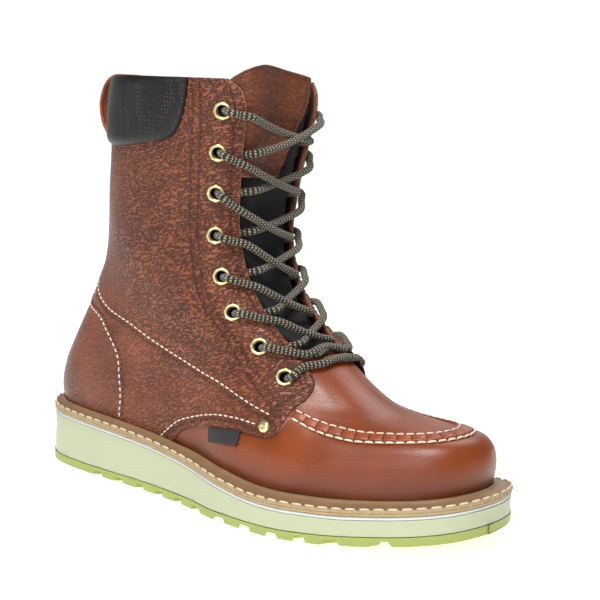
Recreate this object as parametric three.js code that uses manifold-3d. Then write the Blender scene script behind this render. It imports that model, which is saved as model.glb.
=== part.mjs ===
// A right-foot work boot with a wedge sole, a raised toe seam and eight pairs of eyelets.
// Millimetres. +X points to the toe, +Y to the inner side of the foot, +Z up.
// The origin is on the ground, under the middle of the sole's length and breadth.
import * as THREE from 'three';
import { mergeVertices } from 'three/addons/utils/BufferGeometryUtils.js';
import Module from 'manifold-3d';

const wasm = await Module();
wasm.setup();

// Driving dimensions of the last and the sole
const SOLE_LENGTH = 308;
const BALL_BREADTH = 112.8;
const BOOT_HEIGHT = 237;
const HEEL_HEIGHT = 30;
const FOREFOOT_HEIGHT = 13.8;
const TOE_SPRING = 12;
const SPRING_START = 0.6;

// Thicknesses of the layers under the foot
const OUTSOLE = 5;
const STRIP = 1.8;
const WELT = 3.9;
const LIP_HEIGHT = 3;
const LIP = 1.8;
const INSOLE = 4;
const LEDGE = 5;
const SOLE_ROUND = 0.8;
const WEDGE_ROUND = 1;
const WELT_ROUND = 0.7;

// Leather, pad, tongue and clearances
const WALL = 1.8;
const OVERLAY = 1.2;
const SEAM_RISE = 1.4;
const SEAM_WIDTH = 8;
const SEAM_START = 1.95;
const THROAT_CUT = 30;
const PAD = 3;
const PAD_SEAT = 0.6;
const TONGUE = 2;
const TONGUE_SEAT = 0.5;
const TONGUE_DROP = 6;
const TONGUE_PEAK = 0.3;
const TONGUE_FREE = 15;
const TONGUE_DRAWN = [8.4, 10];
const TONGUE_FLAT = 1.1;
const TONGUE_BEND = 1.2;
const FACING = 1.5;
const FACING_GAP = 0.8;
const CLEARANCE = 0.3;

// Tread
const LUG_DEPTH = 3;
const LUG_PITCH = 18.3;
const LUG_SLOPE = 8.5;
const LUG_WAVE = 25;
const LUG_SWING = 9;
const TOE_BLOCK = 34;
const HEEL_BLOCK = 41;

// Hardware, lace, loop, tab and badge
const EYELET_RADIUS = 4.9;
const EYELET_BORE = 2.8;
const EYELET_BARREL = 3.5;
const EYELET_HEIGHT = 1.1;
const EYELET_MARGIN = 8.5;
const EYELET_SEAT = 0.8;
const RIVET_RADIUS = 3.4;
const RIVET_HEIGHT = 1.8;
const RIVET_ALONG = 0.628;
const RIVET_UP = 0.228;
const LACE = 4;
const LACE_SEAT = 1;
const VAMP_SEAT = 0.6;
const LACE_RISE = 0.35;
const LACE_CROWN = 1;
const LACE_TUCK = 1.4;
const BAR_LEVEL = 9.05;
const BAR_END_LEVEL = 8.6;
const LOOP_WIDTH = 22;
const LOOP_STRAP = 2.6;
const LOOP_BOW = 15;
const LOOP_HEIGHT = 40;
const TAB_LENGTH = 26;
const TAB_DROP = 10.5;
const TAB_THICKNESS = 1;
const TAB_SEAT = 0.45;
const TAB_DROP_GAP = 1;
const TAB_ALONG = 0.54;
const BADGE_LENGTH = 35;
const BADGE_BREADTH = 22;
const BADGE_THICKNESS = 1.6;
const BADGE_ALONG = 0.405;
const BADGE_ACROSS = -0.06;
const BADGE_TURN = 0.1;

const table = (columns, rows) =>
  rows.map((row) => Object.fromEntries(columns.map((column, k) => [column, row[k]])));

// Outline of the sole: along is a share of the length from the heel,
// the others are the reach to each side of the axis, as shares of the ball breadth.
const OUTLINE = table(['along', 'outer', 'inner'], [
  [0, 0, 0],
  [0.026, 0.213, 0.213],
  [0.094, 0.335, 0.337],
  [0.195, 0.371, 0.355],
  [0.325, 0.383, 0.335],
  [0.455, 0.424, 0.330],
  [0.552, 0.486, 0.413],
  [0.666, 0.502, 0.498],
  [0.763, 0.459, 0.490],
  [0.851, 0.378, 0.456],
  [0.922, 0.291, 0.409],
  [0.968, 0.186, 0.341],
  [1, -0.089, 0.089],
]);

// How the wedge falls from the heel height (1) to the forefoot height (0)
const WEDGE = table(['along', 'rise'], [
  [0, 1],
  [0.218, 0.87],
  [0.36, 0.69],
  [0.506, 0.39],
  [0.636, 0.08],
  [0.737, 0.03],
  [0.821, 0],
  [1, 0],
]);

// Sections of the last, one closed curve to a level, from the welt (0) to the collar (16) and
// above it. Front and back give where the curve starts and ends: along is a share of the sole
// length from the heel, up a share of the boot height, on top of the welt line times follow.
// Heel, ball and nose are shares of the sole's reach there. Oval is how far the section has
// turned from the foot's outline into the leg's oval, and half that oval's half breadth as a
// share of the ball breadth.
const LEVELS = table(
  ['front', 'frontUp', 'back', 'backUp', 'follow', 'heel', 'ball', 'nose', 'oval', 'half'], [
    [0.969, 0.000, 0.023, 0.000, 1.00, 0.810, 0.825, 0.800, 0.00, 0.355],
    [0.975, 0.033, 0.016, 0.031, 1.00, 0.845, 0.855, 0.805, 0.00, 0.355],
    [0.976, 0.066, 0.016, 0.060, 1.00, 0.850, 0.860, 0.800, 0.00, 0.355],
    [0.969, 0.099, 0.021, 0.090, 1.00, 0.845, 0.840, 0.775, 0.00, 0.355],
    [0.950, 0.125, 0.029, 0.120, 1.00, 0.840, 0.790, 0.710, 0.03, 0.355],
    [0.912, 0.157, 0.044, 0.185, 0.85, 0.830, 0.740, 0.580, 0.12, 0.355],
    [0.857, 0.194, 0.065, 0.277, 0.60, 0.820, 0.700, 0.500, 0.26, 0.355],
    [0.799, 0.234, 0.086, 0.365, 0.38, 0.800, 0.660, 0.470, 0.42, 0.355],
    [0.737, 0.290, 0.106, 0.447, 0.20, 0.800, 0.620, 0.460, 0.60, 0.359],
    [0.675, 0.356, 0.123, 0.524, 0.08, 0.800, 0.600, 0.500, 0.78, 0.363],
    [0.614, 0.420, 0.135, 0.595, 0.00, 0.800, 0.600, 0.600, 0.93, 0.370],
    [0.558, 0.506, 0.142, 0.662, 0.00, 0.800, 0.600, 0.600, 1.00, 0.377],
    [0.531, 0.624, 0.147, 0.730, 0.00, 0.800, 0.600, 0.600, 1.00, 0.387],
    [0.542, 0.747, 0.152, 0.802, 0.00, 0.800, 0.600, 0.600, 1.00, 0.399],
    [0.565, 0.865, 0.154, 0.886, 0.00, 0.800, 0.600, 0.600, 1.00, 0.412],
    [0.580, 0.937, 0.157, 0.941, 0.00, 0.800, 0.600, 0.600, 1.00, 0.419],
    [0.581, 1.000, 0.166, 1.000, 0.00, 0.800, 0.600, 0.600, 1.00, 0.421],
    [0.582, 1.063, 0.170, 1.063, 0.00, 0.800, 0.600, 0.600, 1.00, 0.421],
  ]);
const COLLAR_LEVEL = 16;

// Half the gap between the two flaps, as a share of the ball breadth, by level
const THROAT = table(['level', 'gap'], [
  [9.3, 0.164],
  [10, 0.170],
  [11, 0.182],
  [12, 0.200],
  [13, 0.227],
  [14, 0.254],
  [15, 0.272],
  [15.5, 0.285],
  [16, 0.330],
  [17, 0.600],
]);

// Where each eyelet sits: its level, and its way in from the flap's edge as a share of the
// margin. The lace from it sinks by the drop before it leaves its own flap, outer or inner, and
// reaches the other flap at the far level.
const EYELETS = table(['level', 'margin', 'outerDrop', 'innerDrop', 'outerFar', 'innerFar'], [
  [14.85, 0.85, 0.15, 0.38, 13.95, 13.7],
  [13.65, 0.95, 0.2, 0.28, 12.9, 12.98],
  [12.85, 1.0, 0.3, 0.32, 12.0, 12.2],
  [12, 1.1, 0.14, 0.14, 11.28, 11.45],
  [11.15, 1.25, 0.1, 0.12, 10.42, 10.6],
  [10.2, 1.5, 0, 0.1, 9.6, 9.65],
  [9.05, 1.35, -0.05, 0, 9.1, 9.1],
  [8, 1.1, 0, 0, 8, 8],
]);

// Side view of the quarter that overlaps the vamp: its front edge from the throat down to the
// tip, then its lower edge back to the welt, as shares of the sole length and the boot height
const QUARTER = table(['along', 'up'], [
  [0.64, 0.40],
  [0.66, 0.352],
  [0.671, 0.337],
  [0.678, 0.316],
  [0.677, 0.301],
  [0.665, 0.276],
  [0.656, 0.235],
  [0.641, 0.207],
  [0.60, 0.209],
  [0.543, 0.209],
  [0.49, 0.197],
  [0.445, 0.181],
  [0.417, 0.159],
  [0.391, 0.128],
]);

// The level that the raised toe seam keeps, by its place along the sole
const SEAM = table(['along', 'level'], [
  [0.62, 6.35],
  [0.667, 5.95],
  [0.706, 5.45],
  [0.75, 5.05],
  [0.8, 4.8],
  [0.95, 4.75],
]);

// Half turn around the leg that the collar pad covers, by level
const PAD_EDGE = table(['level', 'turn'], [
  [13.4, 1.62],
  [13.9, 1.78],
  [14.5, 1.86],
  [16, 1.9],
]);

const MATERIALS = {
  leather: new THREE.MeshStandardMaterial({ color: 0x8a4c33, roughness: 0.55 }),
  pad: new THREE.MeshStandardMaterial({ color: 0x2d2826, roughness: 0.7 }),
  textile: new THREE.MeshStandardMaterial({ color: 0x1a1716, roughness: 0.9 }),
  outsole: new THREE.MeshStandardMaterial({ color: 0xb9bd66, roughness: 0.75 }),
  wedge: new THREE.MeshStandardMaterial({ color: 0xd9dfbd, roughness: 0.7 }),
  strip: new THREE.MeshStandardMaterial({ color: 0xbfb5ac, roughness: 0.7 }),
  welt: new THREE.MeshStandardMaterial({ color: 0xa87f5a, roughness: 0.6 }),
  insole: new THREE.MeshStandardMaterial({ color: 0x8c7a60, roughness: 0.9 }),
  brass: new THREE.MeshStandardMaterial({ color: 0xb08d4a, roughness: 0.3, metalness: 1 }),
  lace: new THREE.MeshStandardMaterial({ color: 0x8d7f63, roughness: 0.9 }),
  tab: new THREE.MeshStandardMaterial({ color: 0x17130f, roughness: 0.5 }),
};

// Cubic through the points that never overshoots them
function through(rows, from, to, at) {
  const last = rows.length - 1;
  const slope = (k) => (rows[k + 1][to] - rows[k][to]) / (rows[k + 1][from] - rows[k][from]);
  const tangent = (k) => {
    if (k === 0 || k === last) return slope(k === 0 ? 0 : last - 1);
    const before = slope(k - 1);
    const after = slope(k);
    return before * after <= 0 ? 0 : (2 * before * after) / (before + after);
  };
  const value = THREE.MathUtils.clamp(at, rows[0][from], rows[last][from]);
  let k = 0;
  while (k < last - 1 && value > rows[k + 1][from]) k += 1;
  const span = rows[k + 1][from] - rows[k][from];
  const t = (value - rows[k][from]) / span;
  const rise = rows[k][to] * (1 + 2 * t) * (1 - t) ** 2 + rows[k + 1][to] * t * t * (3 - 2 * t);
  return rise + span * (tangent(k) * t * (1 - t) ** 2 - tangent(k + 1) * t * t * (1 - t));
}

// Catmull-Rom through equally spaced values
function between(rows, column, at) {
  const last = rows.length - 1;
  const k = Math.min(Math.floor(THREE.MathUtils.clamp(at, 0, last)), last - 1);
  const t = THREE.MathUtils.clamp(at, 0, last) - k;
  const b = rows[k][column];
  const c = rows[k + 1][column];
  const a = k === 0 ? 2 * b - c : rows[k - 1][column];
  const d = k === last - 1 ? 2 * c - b : rows[k + 2][column];
  return 0.5 * (2 * b + (c - a) * t + (2 * a - 5 * b + 4 * c - d) * t * t
    + (3 * b - a - 3 * c + d) * t ** 3);
}

const ease = (value, start, end) => THREE.MathUtils.smoothstep(value, start, end);
const lerp = THREE.MathUtils.lerp;
const alongX = (x) => x / SOLE_LENGTH + 0.5;
const xAt = (along) => (along - 0.5) * SOLE_LENGTH;

// Heights of the layers along the sole
const ground = (x) =>
  TOE_SPRING * (Math.max(alongX(x) - SPRING_START, 0) / (1 - SPRING_START)) ** 2;
const wedgeTop = (x) => ground(x) + FOREFOOT_HEIGHT
  + (HEEL_HEIGHT - FOREFOOT_HEIGHT) * through(WEDGE, 'along', 'rise', alongX(x));
const stripTop = (x) => wedgeTop(x) + STRIP;
const weltTop = (x) => stripTop(x) + WELT;

// Reach of the sole to the outer (side < 0) or inner side of its axis. It is worked out over
// the angle whose cosine runs along the sole, so that both ends come out round.
const OUTLINE_TURN = OUTLINE.map((row) => ({ ...row, turn: Math.acos(1 - 2 * row.along) }));
function reach(side, along) {
  const turn = Math.acos(THREE.MathUtils.clamp(1 - 2 * along, -1, 1));
  return BALL_BREADTH * through(OUTLINE_TURN, 'turn', side < 0 ? 'outer' : 'inner', turn);
}

// A point of the sole's edge, moved in by inset along the plan normal.
// Turn runs from 0 at the heel to plus or minus pi at the toe.
function edgePoint(turn, inset) {
  const at = (angle) => {
    const along = (1 - Math.cos(angle)) / 2;
    return new THREE.Vector2(xAt(along), Math.sign(angle || 1) * reach(angle, along));
  };
  const step = 0.02;
  const here = Math.abs(turn) < 1e-6 ? at(1e-9) : at(turn);
  const ahead = at(Math.min(turn + step, Math.PI));
  const behind = at(Math.max(turn - step, -Math.PI));
  const tangent = ahead.sub(behind).normalize();
  if (Math.PI - Math.abs(turn) < 1e-6) tangent.set(0, -1);
  return here.addScaledVector(new THREE.Vector2(tangent.y, -tangent.x), inset);
}

// The last: a point at a level and a turn around it
function lastPoint(level, turn) {
  const get = (column) => between(LEVELS, column, level);
  const angle = Math.abs(turn);
  const share = (1 - Math.cos(angle)) / 2;
  const x = lerp(xAt(get('back')), xAt(get('front')), share);
  const heelToBall = lerp(get('heel'), get('ball'), ease(share, 0.2, 0.6));
  const scale = lerp(heelToBall, get('nose'), ease(share, 0.68, 0.95));
  const foot = scale * reach(turn, share);
  const leg = BALL_BREADTH * get('half') * Math.sin(angle);
  const y = Math.sign(turn || 1) * lerp(foot, leg, get('oval'));
  const up = BOOT_HEIGHT * lerp(get('backUp'), get('frontUp'), share);
  return new THREE.Vector3(x, y, get('follow') * weltTop(x) + up);
}

// The last's outward normal
function lastNormal(level, turn) {
  const step = 0.01;
  const wrap = (angle) => {
    if (angle > Math.PI) return angle - 2 * Math.PI;
    return angle < -Math.PI ? angle + 2 * Math.PI : angle;
  };
  const around = lastPoint(level, wrap(turn + step)).sub(lastPoint(level, wrap(turn - step)));
  const up = lastPoint(level + step, turn).sub(lastPoint(Math.max(level - step, 0), turn));
  return new THREE.Vector3().crossVectors(up, around).normalize();
}

// A point of the upper's own form, moved proud of the last along its normal
const upperPoint = (level, turn, proud) =>
  lastPoint(level, turn).addScaledVector(lastNormal(level, turn), proud);

const throatGap = (level) => BALL_BREADTH * through(THROAT, 'level', 'gap', level);

// The turn in the front half where the last is reach away from the middle plane
function turnAt(level, side, distance) {
  let back = Math.PI / 2;
  let front = Math.PI;
  for (let k = 0; k < 40; k += 1) {
    const middle = (back + front) / 2;
    if (side * lastPoint(level, side * middle).y > distance) back = middle;
    else front = middle;
  }
  return side * (back + front) / 2;
}

// The level and turn where the last is at x and height z, on one side
function lastAt(side, x, z) {
  const turnFor = (level) => {
    let back = 0.01;
    let front = Math.PI;
    for (let k = 0; k < 30; k += 1) {
      const middle = (back + front) / 2;
      if (lastPoint(level, side * middle).x < x) back = middle;
      else front = middle;
    }
    return side * back;
  };
  let low = 0;
  let high = COLLAR_LEVEL;
  for (let k = 0; k < 30; k += 1) {
    const middle = (low + high) / 2;
    if (lastPoint(middle, turnFor(middle)).z < z) low = middle;
    else high = middle;
  }
  return { level: low, turn: turnFor(low) };
}

// Solids from points and triangles
function solid(points, triangles) {
  const volume = triangles.reduce((sum, [a, b, c]) =>
    sum + points[a].dot(new THREE.Vector3().crossVectors(points[b], points[c])), 0);
  const facing = volume < 0 ? triangles.map(([a, b, c]) => [a, c, b]) : triangles;
  const geometry = new THREE.BufferGeometry();
  geometry.setAttribute('position', new THREE.Float32BufferAttribute(
    points.flatMap((p) => [p.x, p.y, p.z]), 3));
  geometry.setIndex(facing.flat());
  return manifold(geometry);
}

function manifold(geometry) {
  geometry.deleteAttribute('normal');
  geometry.deleteAttribute('uv');
  const merged = mergeVertices(geometry, 1e-4);
  const corners = merged.index.array;
  const kept = [];
  for (let k = 0; k < corners.length; k += 3) {
    const [a, b, c] = corners.slice(k, k + 3);
    if (a !== b && b !== c && c !== a) kept.push(a, b, c);
  }
  return new wasm.Manifold(new wasm.Mesh({
    numProp: 3,
    vertProperties: new Float32Array(merged.attributes.position.array),
    triVerts: new Uint32Array(kept),
  }));
}

// Rings of points joined one after the other. The last ring joins the first if closed,
// and otherwise each end is capped by strips across the ring.
function ringSolid(rings, closed = false) {
  const count = rings[0].length;
  const points = rings.flat();
  const triangles = [];
  const steps = closed ? rings.length : rings.length - 1;
  for (let r = 0; r < steps; r += 1) {
    const here = r * count;
    const next = ((r + 1) % rings.length) * count;
    for (let k = 0; k < count; k += 1) {
      const m = (k + 1) % count;
      triangles.push([here + k, here + m, next + m], [here + k, next + m, next + k]);
    }
  }
  if (!closed) {
    for (const [start, turned] of [[0, true], [(rings.length - 1) * count, false]]) {
      for (let k = 0; k < count / 2; k += 1) {
        const a = start + k;
        const b = start + ((k + 1) % count);
        const c = start + ((2 * count - k - 1) % count);
        const d = start + ((count - k) % count);
        const strip = [[a, b, c], [a, c, d]];
        triangles.push(...(turned ? strip.map(([p, q, s]) => [p, s, q]) : strip));
      }
    }
  }
  return solid(points, triangles);
}

// A patch with thickness, between two grids of points of the same size
function patchSolid(outer, inner) {
  const rings = outer.map((row, k) => [...row, ...[...inner[k]].reverse()]);
  return ringSolid(rings);
}

const TURNS = 36;
const turns = (count) =>
  Array.from({ length: count }, (_, k) => -Math.PI + (2 * Math.PI * k) / count);

// A plate under the foot, between two heights, its edge moved in at each of them
function plate(bottom, top, sides) {
  const ring = (inset, height) => turns(TURNS).map((turn) => {
    const p = edgePoint(turn, inset);
    return new THREE.Vector3(p.x, p.y, height(p.x));
  });
  const rings = sides.map(([share, inset]) =>
    ring(inset, (x) => lerp(bottom(x), top(x), share)));
  return ringSolid(rings);
}

// A box-like solid over a plan outline, between two heights that follow x
function prism(corners, bottom, top) {
  const ring = (height) => corners.map((p) => new THREE.Vector3(p.x, p.y, height(p)));
  const faces = THREE.ShapeUtils.triangulateShape(corners, []);
  const count = corners.length;
  const triangles = faces.flatMap(([a, b, c]) => [[a, c, b], [a + count, b + count, c + count]]);
  for (let k = 0; k < count; k += 1) {
    const m = (k + 1) % count;
    triangles.push([k, m, m + count], [k, m + count, k + count]);
  }
  return solid([...ring(bottom), ...ring(top)], triangles);
}

// Outsole: a plate with zigzag steps, each cut deepest at its front edge
function outsole() {
  let body = plate(ground, (x) => ground(x) + OUTSOLE - CLEARANCE / 2,
    [[0, SOLE_ROUND], [0.3, 0], [1, SOLE_ROUND / 4]]);
  const first = -SOLE_LENGTH / 2 + HEEL_BLOCK + LUG_SLOPE + LUG_SWING / 2;
  const last = SOLE_LENGTH / 2 - TOE_BLOCK - LUG_SWING / 2;
  const pitches = Math.floor((last - first) / LUG_PITCH);
  const halfWaves = Math.ceil(BALL_BREADTH / LUG_WAVE) + 1;
  for (let lug = 0; lug <= pitches; lug += 1) {
    const rows = [];
    for (let k = -halfWaves; k <= halfWaves; k += 1) {
      const y = (k * LUG_WAVE) / 2;
      const x = last - (pitches - lug) * LUG_PITCH + (k % 2 === 0 ? -1 : 1) * (LUG_SWING / 2);
      const back = x - LUG_SLOPE;
      rows.push([
        new THREE.Vector3(x, y, ground(x) - OUTSOLE),
        new THREE.Vector3(x, y, ground(x) + LUG_DEPTH),
        new THREE.Vector3(back, y, ground(back) + CLEARANCE),
        new THREE.Vector3(back, y, ground(back) - OUTSOLE),
      ]);
    }
    body = body.subtract(ringSolid(rows));
  }
  const pocket = badgeCorners(CLEARANCE);
  return body.subtract(prism(pocket, (p) => ground(p.x) - OUTSOLE, (p) => badgeSeat(p.x)));
}

const badgeSeat = (x) => ground(x) + 2 * CLEARANCE + BADGE_THICKNESS;

function badgeCorners(margin) {
  const centre = new THREE.Vector2(xAt(BADGE_ALONG), BADGE_ACROSS * BALL_BREADTH);
  const half = new THREE.Vector2(BADGE_BREADTH / 2 + margin, BADGE_LENGTH / 2 + margin);
  return [[-1, -1], [1, -1], [1, 1], [-1, 1]].map(([sx, sy]) =>
    new THREE.Vector2(sx * half.x, sy * half.y)
      .rotateAround(new THREE.Vector2(), BADGE_TURN).add(centre));
}

const badge = () => prism(badgeCorners(0),
  (p) => ground(p.x) + CLEARANCE, (p) => ground(p.x) + CLEARANCE + BADGE_THICKNESS);

const wedge = () => plate((x) => ground(x) + OUTSOLE + CLEARANCE / 2,
  (x) => wedgeTop(x) - CLEARANCE / 2,
  [[0, CLEARANCE], [0.35, WEDGE_ROUND], [0.75, WEDGE_ROUND], [1, WEDGE_ROUND * 0.6]]);

const strip = () => plate((x) => wedgeTop(x) + CLEARANCE / 2,
  (x) => stripTop(x) - CLEARANCE / 2, [[0, WEDGE_ROUND / 2], [1, WEDGE_ROUND / 2]]);

// The turn at which the quarter's lower edge runs down into the welt, with room to spare
const QUARTER_TURN = 0.05 + Math.acos(1 - (2 * (QUARTER[QUARTER.length - 1].along
  - LEVELS[0].back)) / (LEVELS[0].front - LEVELS[0].back));

// Welt: a flat ring, with a lip that stands against the foot of the upper
function welt() {
  const rings = turns(TURNS).map((turn) => {
    const low = (p) => new THREE.Vector3(p.x, p.y, stripTop(p.x) + CLEARANCE / 2);
    const high = (p, up) => new THREE.Vector3(p.x, p.y, weltTop(p.x) + up);
    const foot = (proud) => upperPoint(0, turn, proud);
    const lipLevel = LIP_HEIGHT / (BOOT_HEIGHT * LEVELS[1].frontUp);
    const beyond = ease(Math.abs(turn), QUARTER_TURN, QUARTER_TURN + 0.2);
    const cover = CLEARANCE + OVERLAY * (1 - beyond);
    const top = (proud) => upperPoint(lipLevel, turn, proud + cover);
    return [
      low(foot(-LEDGE)),
      low(edgePoint(turn, 0)),
      high(edgePoint(turn, 0), -CLEARANCE),
      high(edgePoint(turn, WELT_ROUND), 0),
      high(foot(cover + LIP), 0),
      high(top(LIP * 0.7), LIP_HEIGHT * 0.8),
      high(top(0), LIP_HEIGHT),
      high(foot(cover), 0),
      high(foot(-LEDGE), 0),
    ];
  });
  return ringSolid(rings, true);
}

// Insole: it fills the welt's ring and spreads over its ledge to the upper's wall
function insole() {
  const ring = (proud, height) => turns(TURNS).map((turn) => {
    const p = upperPoint(0, turn, proud);
    return new THREE.Vector3(p.x, p.y, height(p.x));
  });
  const inner = -LEDGE - CLEARANCE;
  const outer = -WALL - CLEARANCE;
  return ringSolid([
    ring(inner, (x) => stripTop(x) + CLEARANCE / 2),
    ring(inner, (x) => weltTop(x) + CLEARANCE),
    ring(outer, (x) => weltTop(x) + CLEARANCE),
    ring(outer, (x) => weltTop(x) + CLEARANCE + INSOLE),
  ]);
}

// The upper's own form as a filled body, proud of the last, with its ends moved up or down
const UPPER_LEVELS = [0, 1, 2, 3, 4, 4.8, 5.6, 6.5, 7.4, 8.2, 9, 9.7, 10.4, 11.2, 12.2, 13.4, 15, 16];
function filled(proud, lower, higher) {
  const rings = UPPER_LEVELS.map((level) =>
    turns(TURNS).map((turn) => upperPoint(level, turn, proud)));
  const shift = (ring, up) => ring.map((p) => new THREE.Vector3(p.x, p.y, p.z + up));
  rings[0].forEach((p) => p.setZ(weltTop(p.x) + CLEARANCE));
  if (lower > 0) rings.unshift(shift(rings[0], -lower));
  if (higher > 0) rings.push(shift(rings[rings.length - 1], higher));
  return ringSolid(rings);
}

// The gap between the flaps, from the vamp's edge up through the collar
function throat() {
  const rings = THROAT.map(({ level }) => {
    const gap = throatGap(level);
    const front = xAt(between(LEVELS, 'front', level));
    const back = xAt(between(LEVELS, 'back', level));
    const height = (x) => BOOT_HEIGHT * lerp(between(LEVELS, 'backUp', level),
      between(LEVELS, 'frontUp', level), (x - back) / (front - back))
      + between(LEVELS, 'follow', level) * weltTop(x);
    const ahead = front + THROAT_CUT;
    const behind = front - THROAT_CUT;
    return [[ahead, -gap], [ahead, gap], [behind, gap], [behind, -gap]]
      .map(([x, y]) => new THREE.Vector3(x, y, height(x)));
  });
  return ringSolid(rings);
}

// Everything behind the quarter's front edge and above its lower edge, on both sides
function quarterPrism() {
  const corners = QUARTER.map((row) => new THREE.Vector2(xAt(row.along), row.up * BOOT_HEIGHT));
  const first = corners[0];
  const behind = -SOLE_LENGTH;
  const above = 2 * BOOT_HEIGHT;
  const outline = [
    ...corners,
    new THREE.Vector2(corners[corners.length - 1].x, -HEEL_HEIGHT),
    new THREE.Vector2(behind, -HEEL_HEIGHT),
    new THREE.Vector2(behind, above),
    new THREE.Vector2(SOLE_LENGTH / 2, above),
    new THREE.Vector2(SOLE_LENGTH / 2, first.y + HEEL_HEIGHT),
  ];
  const slab = new THREE.ExtrudeGeometry(new THREE.Shape(outline), {
    depth: 2 * BALL_BREADTH, bevelEnabled: false,
  });
  slab.rotateX(Math.PI / 2);
  slab.translate(0, BALL_BREADTH, 0);
  return manifold(slab);
}

// A block over the top of the foot that keeps the quarter off the vamp between the flaps
function instepBlock() {
  const gap = throatGap(THROAT[0].level);
  const block = new THREE.BoxGeometry(SOLE_LENGTH, 2 * gap, 2 * BOOT_HEIGHT);
  block.translate(xAt(QUARTER[0].along) - LEDGE * 4 + SOLE_LENGTH / 2, 0, BOOT_HEIGHT);
  return manifold(block);
}

// Raised seam around the top of the toe: a strap that follows the upper's own form
function toeSeam() {
  const steps = 26;
  const ring = (turn) => {
    let level = 5;
    for (let k = 0; k < 20; k += 1) {
      level = through(SEAM, 'along', 'level', alongX(lastPoint(level, turn).x));
    }
    const tall = lastPoint(level + 0.5, turn).distanceTo(lastPoint(level - 0.5, turn));
    const half = SEAM_WIDTH / 2 / tall;
    const at = (share, proud) => upperPoint(level + share * half, turn, proud);
    return [at(-1, -WALL / 2), at(-0.75, SEAM_RISE), at(0.75, SEAM_RISE), at(1, -WALL / 2)];
  };
  const rings = [];
  for (let k = 0; k <= steps; k += 1) {
    const turn = SEAM_START + ((2 * Math.PI - 2 * SEAM_START) * k) / steps;
    rings.push(ring(turn > Math.PI ? turn - 2 * Math.PI : turn));
  }
  return ringSolid(rings);
}

// Each eyelet's place on the flap and the way it faces
function eyeletSeat(row, side) {
  const { level, margin } = EYELETS[row];
  const fromMiddle = throatGap(level) + margin * EYELET_MARGIN;
  const turn = turnAt(level, side, fromMiddle);
  return { point: upperPoint(level, turn, OVERLAY), normal: lastNormal(level, turn) };
}

function placed(geometry, seat, along) {
  const turned = new THREE.Quaternion().setFromUnitVectors(new THREE.Vector3(0, 1, 0), seat.normal);
  geometry.applyQuaternion(turned);
  const centre = seat.point.clone().addScaledVector(seat.normal, along);
  geometry.translate(centre.x, centre.y, centre.z);
  return geometry;
}

const SIDES = [['lateral', -1], ['medial', 1]];

function upper() {
  let body = filled(0, 0, 0);
  const raised = filled(OVERLAY, 0, 0).intersect(quarterPrism()).subtract(instepBlock());
  body = body.add(raised).add(toeSeam());
  body = body.subtract(filled(-WALL, HEEL_HEIGHT, HEEL_HEIGHT)).subtract(throat());
  for (const [, side] of SIDES) {
    for (let row = 0; row < EYELETS.length; row += 1) {
      const bore = new THREE.CylinderGeometry(EYELET_BARREL + CLEARANCE,
        EYELET_BARREL + CLEARANCE, 6 * WALL, 8);
      body = body.subtract(manifold(placed(bore, eyeletSeat(row, side), 0)));
    }
  }
  return body;
}

// Eyelet: a flange on the flap and a barrel through it
function eyelet(row, side) {
  const depth = WALL + OVERLAY;
  const profile = [
    [EYELET_BORE, -depth],
    [EYELET_BARREL, -depth],
    [EYELET_BARREL, EYELET_SEAT],
    [EYELET_RADIUS, EYELET_SEAT],
    [EYELET_RADIUS * 0.75, EYELET_SEAT + EYELET_HEIGHT],
    [EYELET_BORE, -depth],
  ].map(([r, h]) => new THREE.Vector2(r, h));
  return manifold(placed(new THREE.LatheGeometry(profile, 8), eyeletSeat(row, side), 0));
}

// Rivet: a low dome on the quarter's tip
function rivet(side) {
  const { level, turn } = lastAt(side, xAt(RIVET_ALONG), RIVET_UP * BOOT_HEIGHT);
  const seat = { point: upperPoint(level, turn, OVERLAY), normal: lastNormal(level, turn) };
  const low = 2 * CLEARANCE;
  const profile = [[0, low], [RIVET_RADIUS, low], [RIVET_RADIUS * 0.8, low + RIVET_HEIGHT * 0.6],
    [RIVET_RADIUS * 0.4, low + RIVET_HEIGHT * 0.95], [0, low + RIVET_HEIGHT]]
    .map(([r, h]) => new THREE.Vector2(r, h));
  return manifold(placed(new THREE.LatheGeometry(profile, 10), seat, 0));
}

// Collar pad: it wraps the back of the collar and swells between its edges
function collarPad() {
  const levels = [13.4, 13.6, 14.5, 15.4, 16];
  const steps = 24;
  const row = (level, outer) => Array.from({ length: steps + 1 }, (_, k) => {
    const share = (2 * k) / steps - 1;
    const turn = share * through(PAD_EDGE, 'level', 'turn', level);
    const swell = Math.min(1, 8 * (1 - Math.abs(share)) + 0.25)
      * Math.min(1, 0.4 + 3 * (level - levels[0]), 0.4 + 3 * (COLLAR_LEVEL - level));
    return upperPoint(level, turn, OVERLAY + PAD_SEAT + (outer ? PAD * swell : 0));
  });
  return patchSolid(levels.map((level) => row(level, true)),
    levels.map((level) => row(level, false)));
}

// The tongue's own form: under the vamp and the flaps it keeps to the inside of the upper,
// and between the flaps it is drawn back from the last's front until it lies behind the lace
function tonguePoint(level, across, proud) {
  const distance = Math.abs(across);
  const side = across < 0 ? -1 : 1;
  const turn = turnAt(level, side, Math.max(distance, 0.01));
  const gap = throatGap(Math.min(level, TONGUE_FREE));
  const flapX = lastPoint(level, turnAt(level, 1, gap)).x;
  const front = lastPoint(level, Math.PI).x;
  const draw = (front - flapX) * ease(level, ...TONGUE_DRAWN)
    * (1 - ease(distance, 0, gap * TONGUE_FLAT) ** TONGUE_BEND);
  const under = -WALL - TONGUE_SEAT - proud;
  return upperPoint(level, turn, under).add(new THREE.Vector3(-draw, 0, 0));
}

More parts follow.
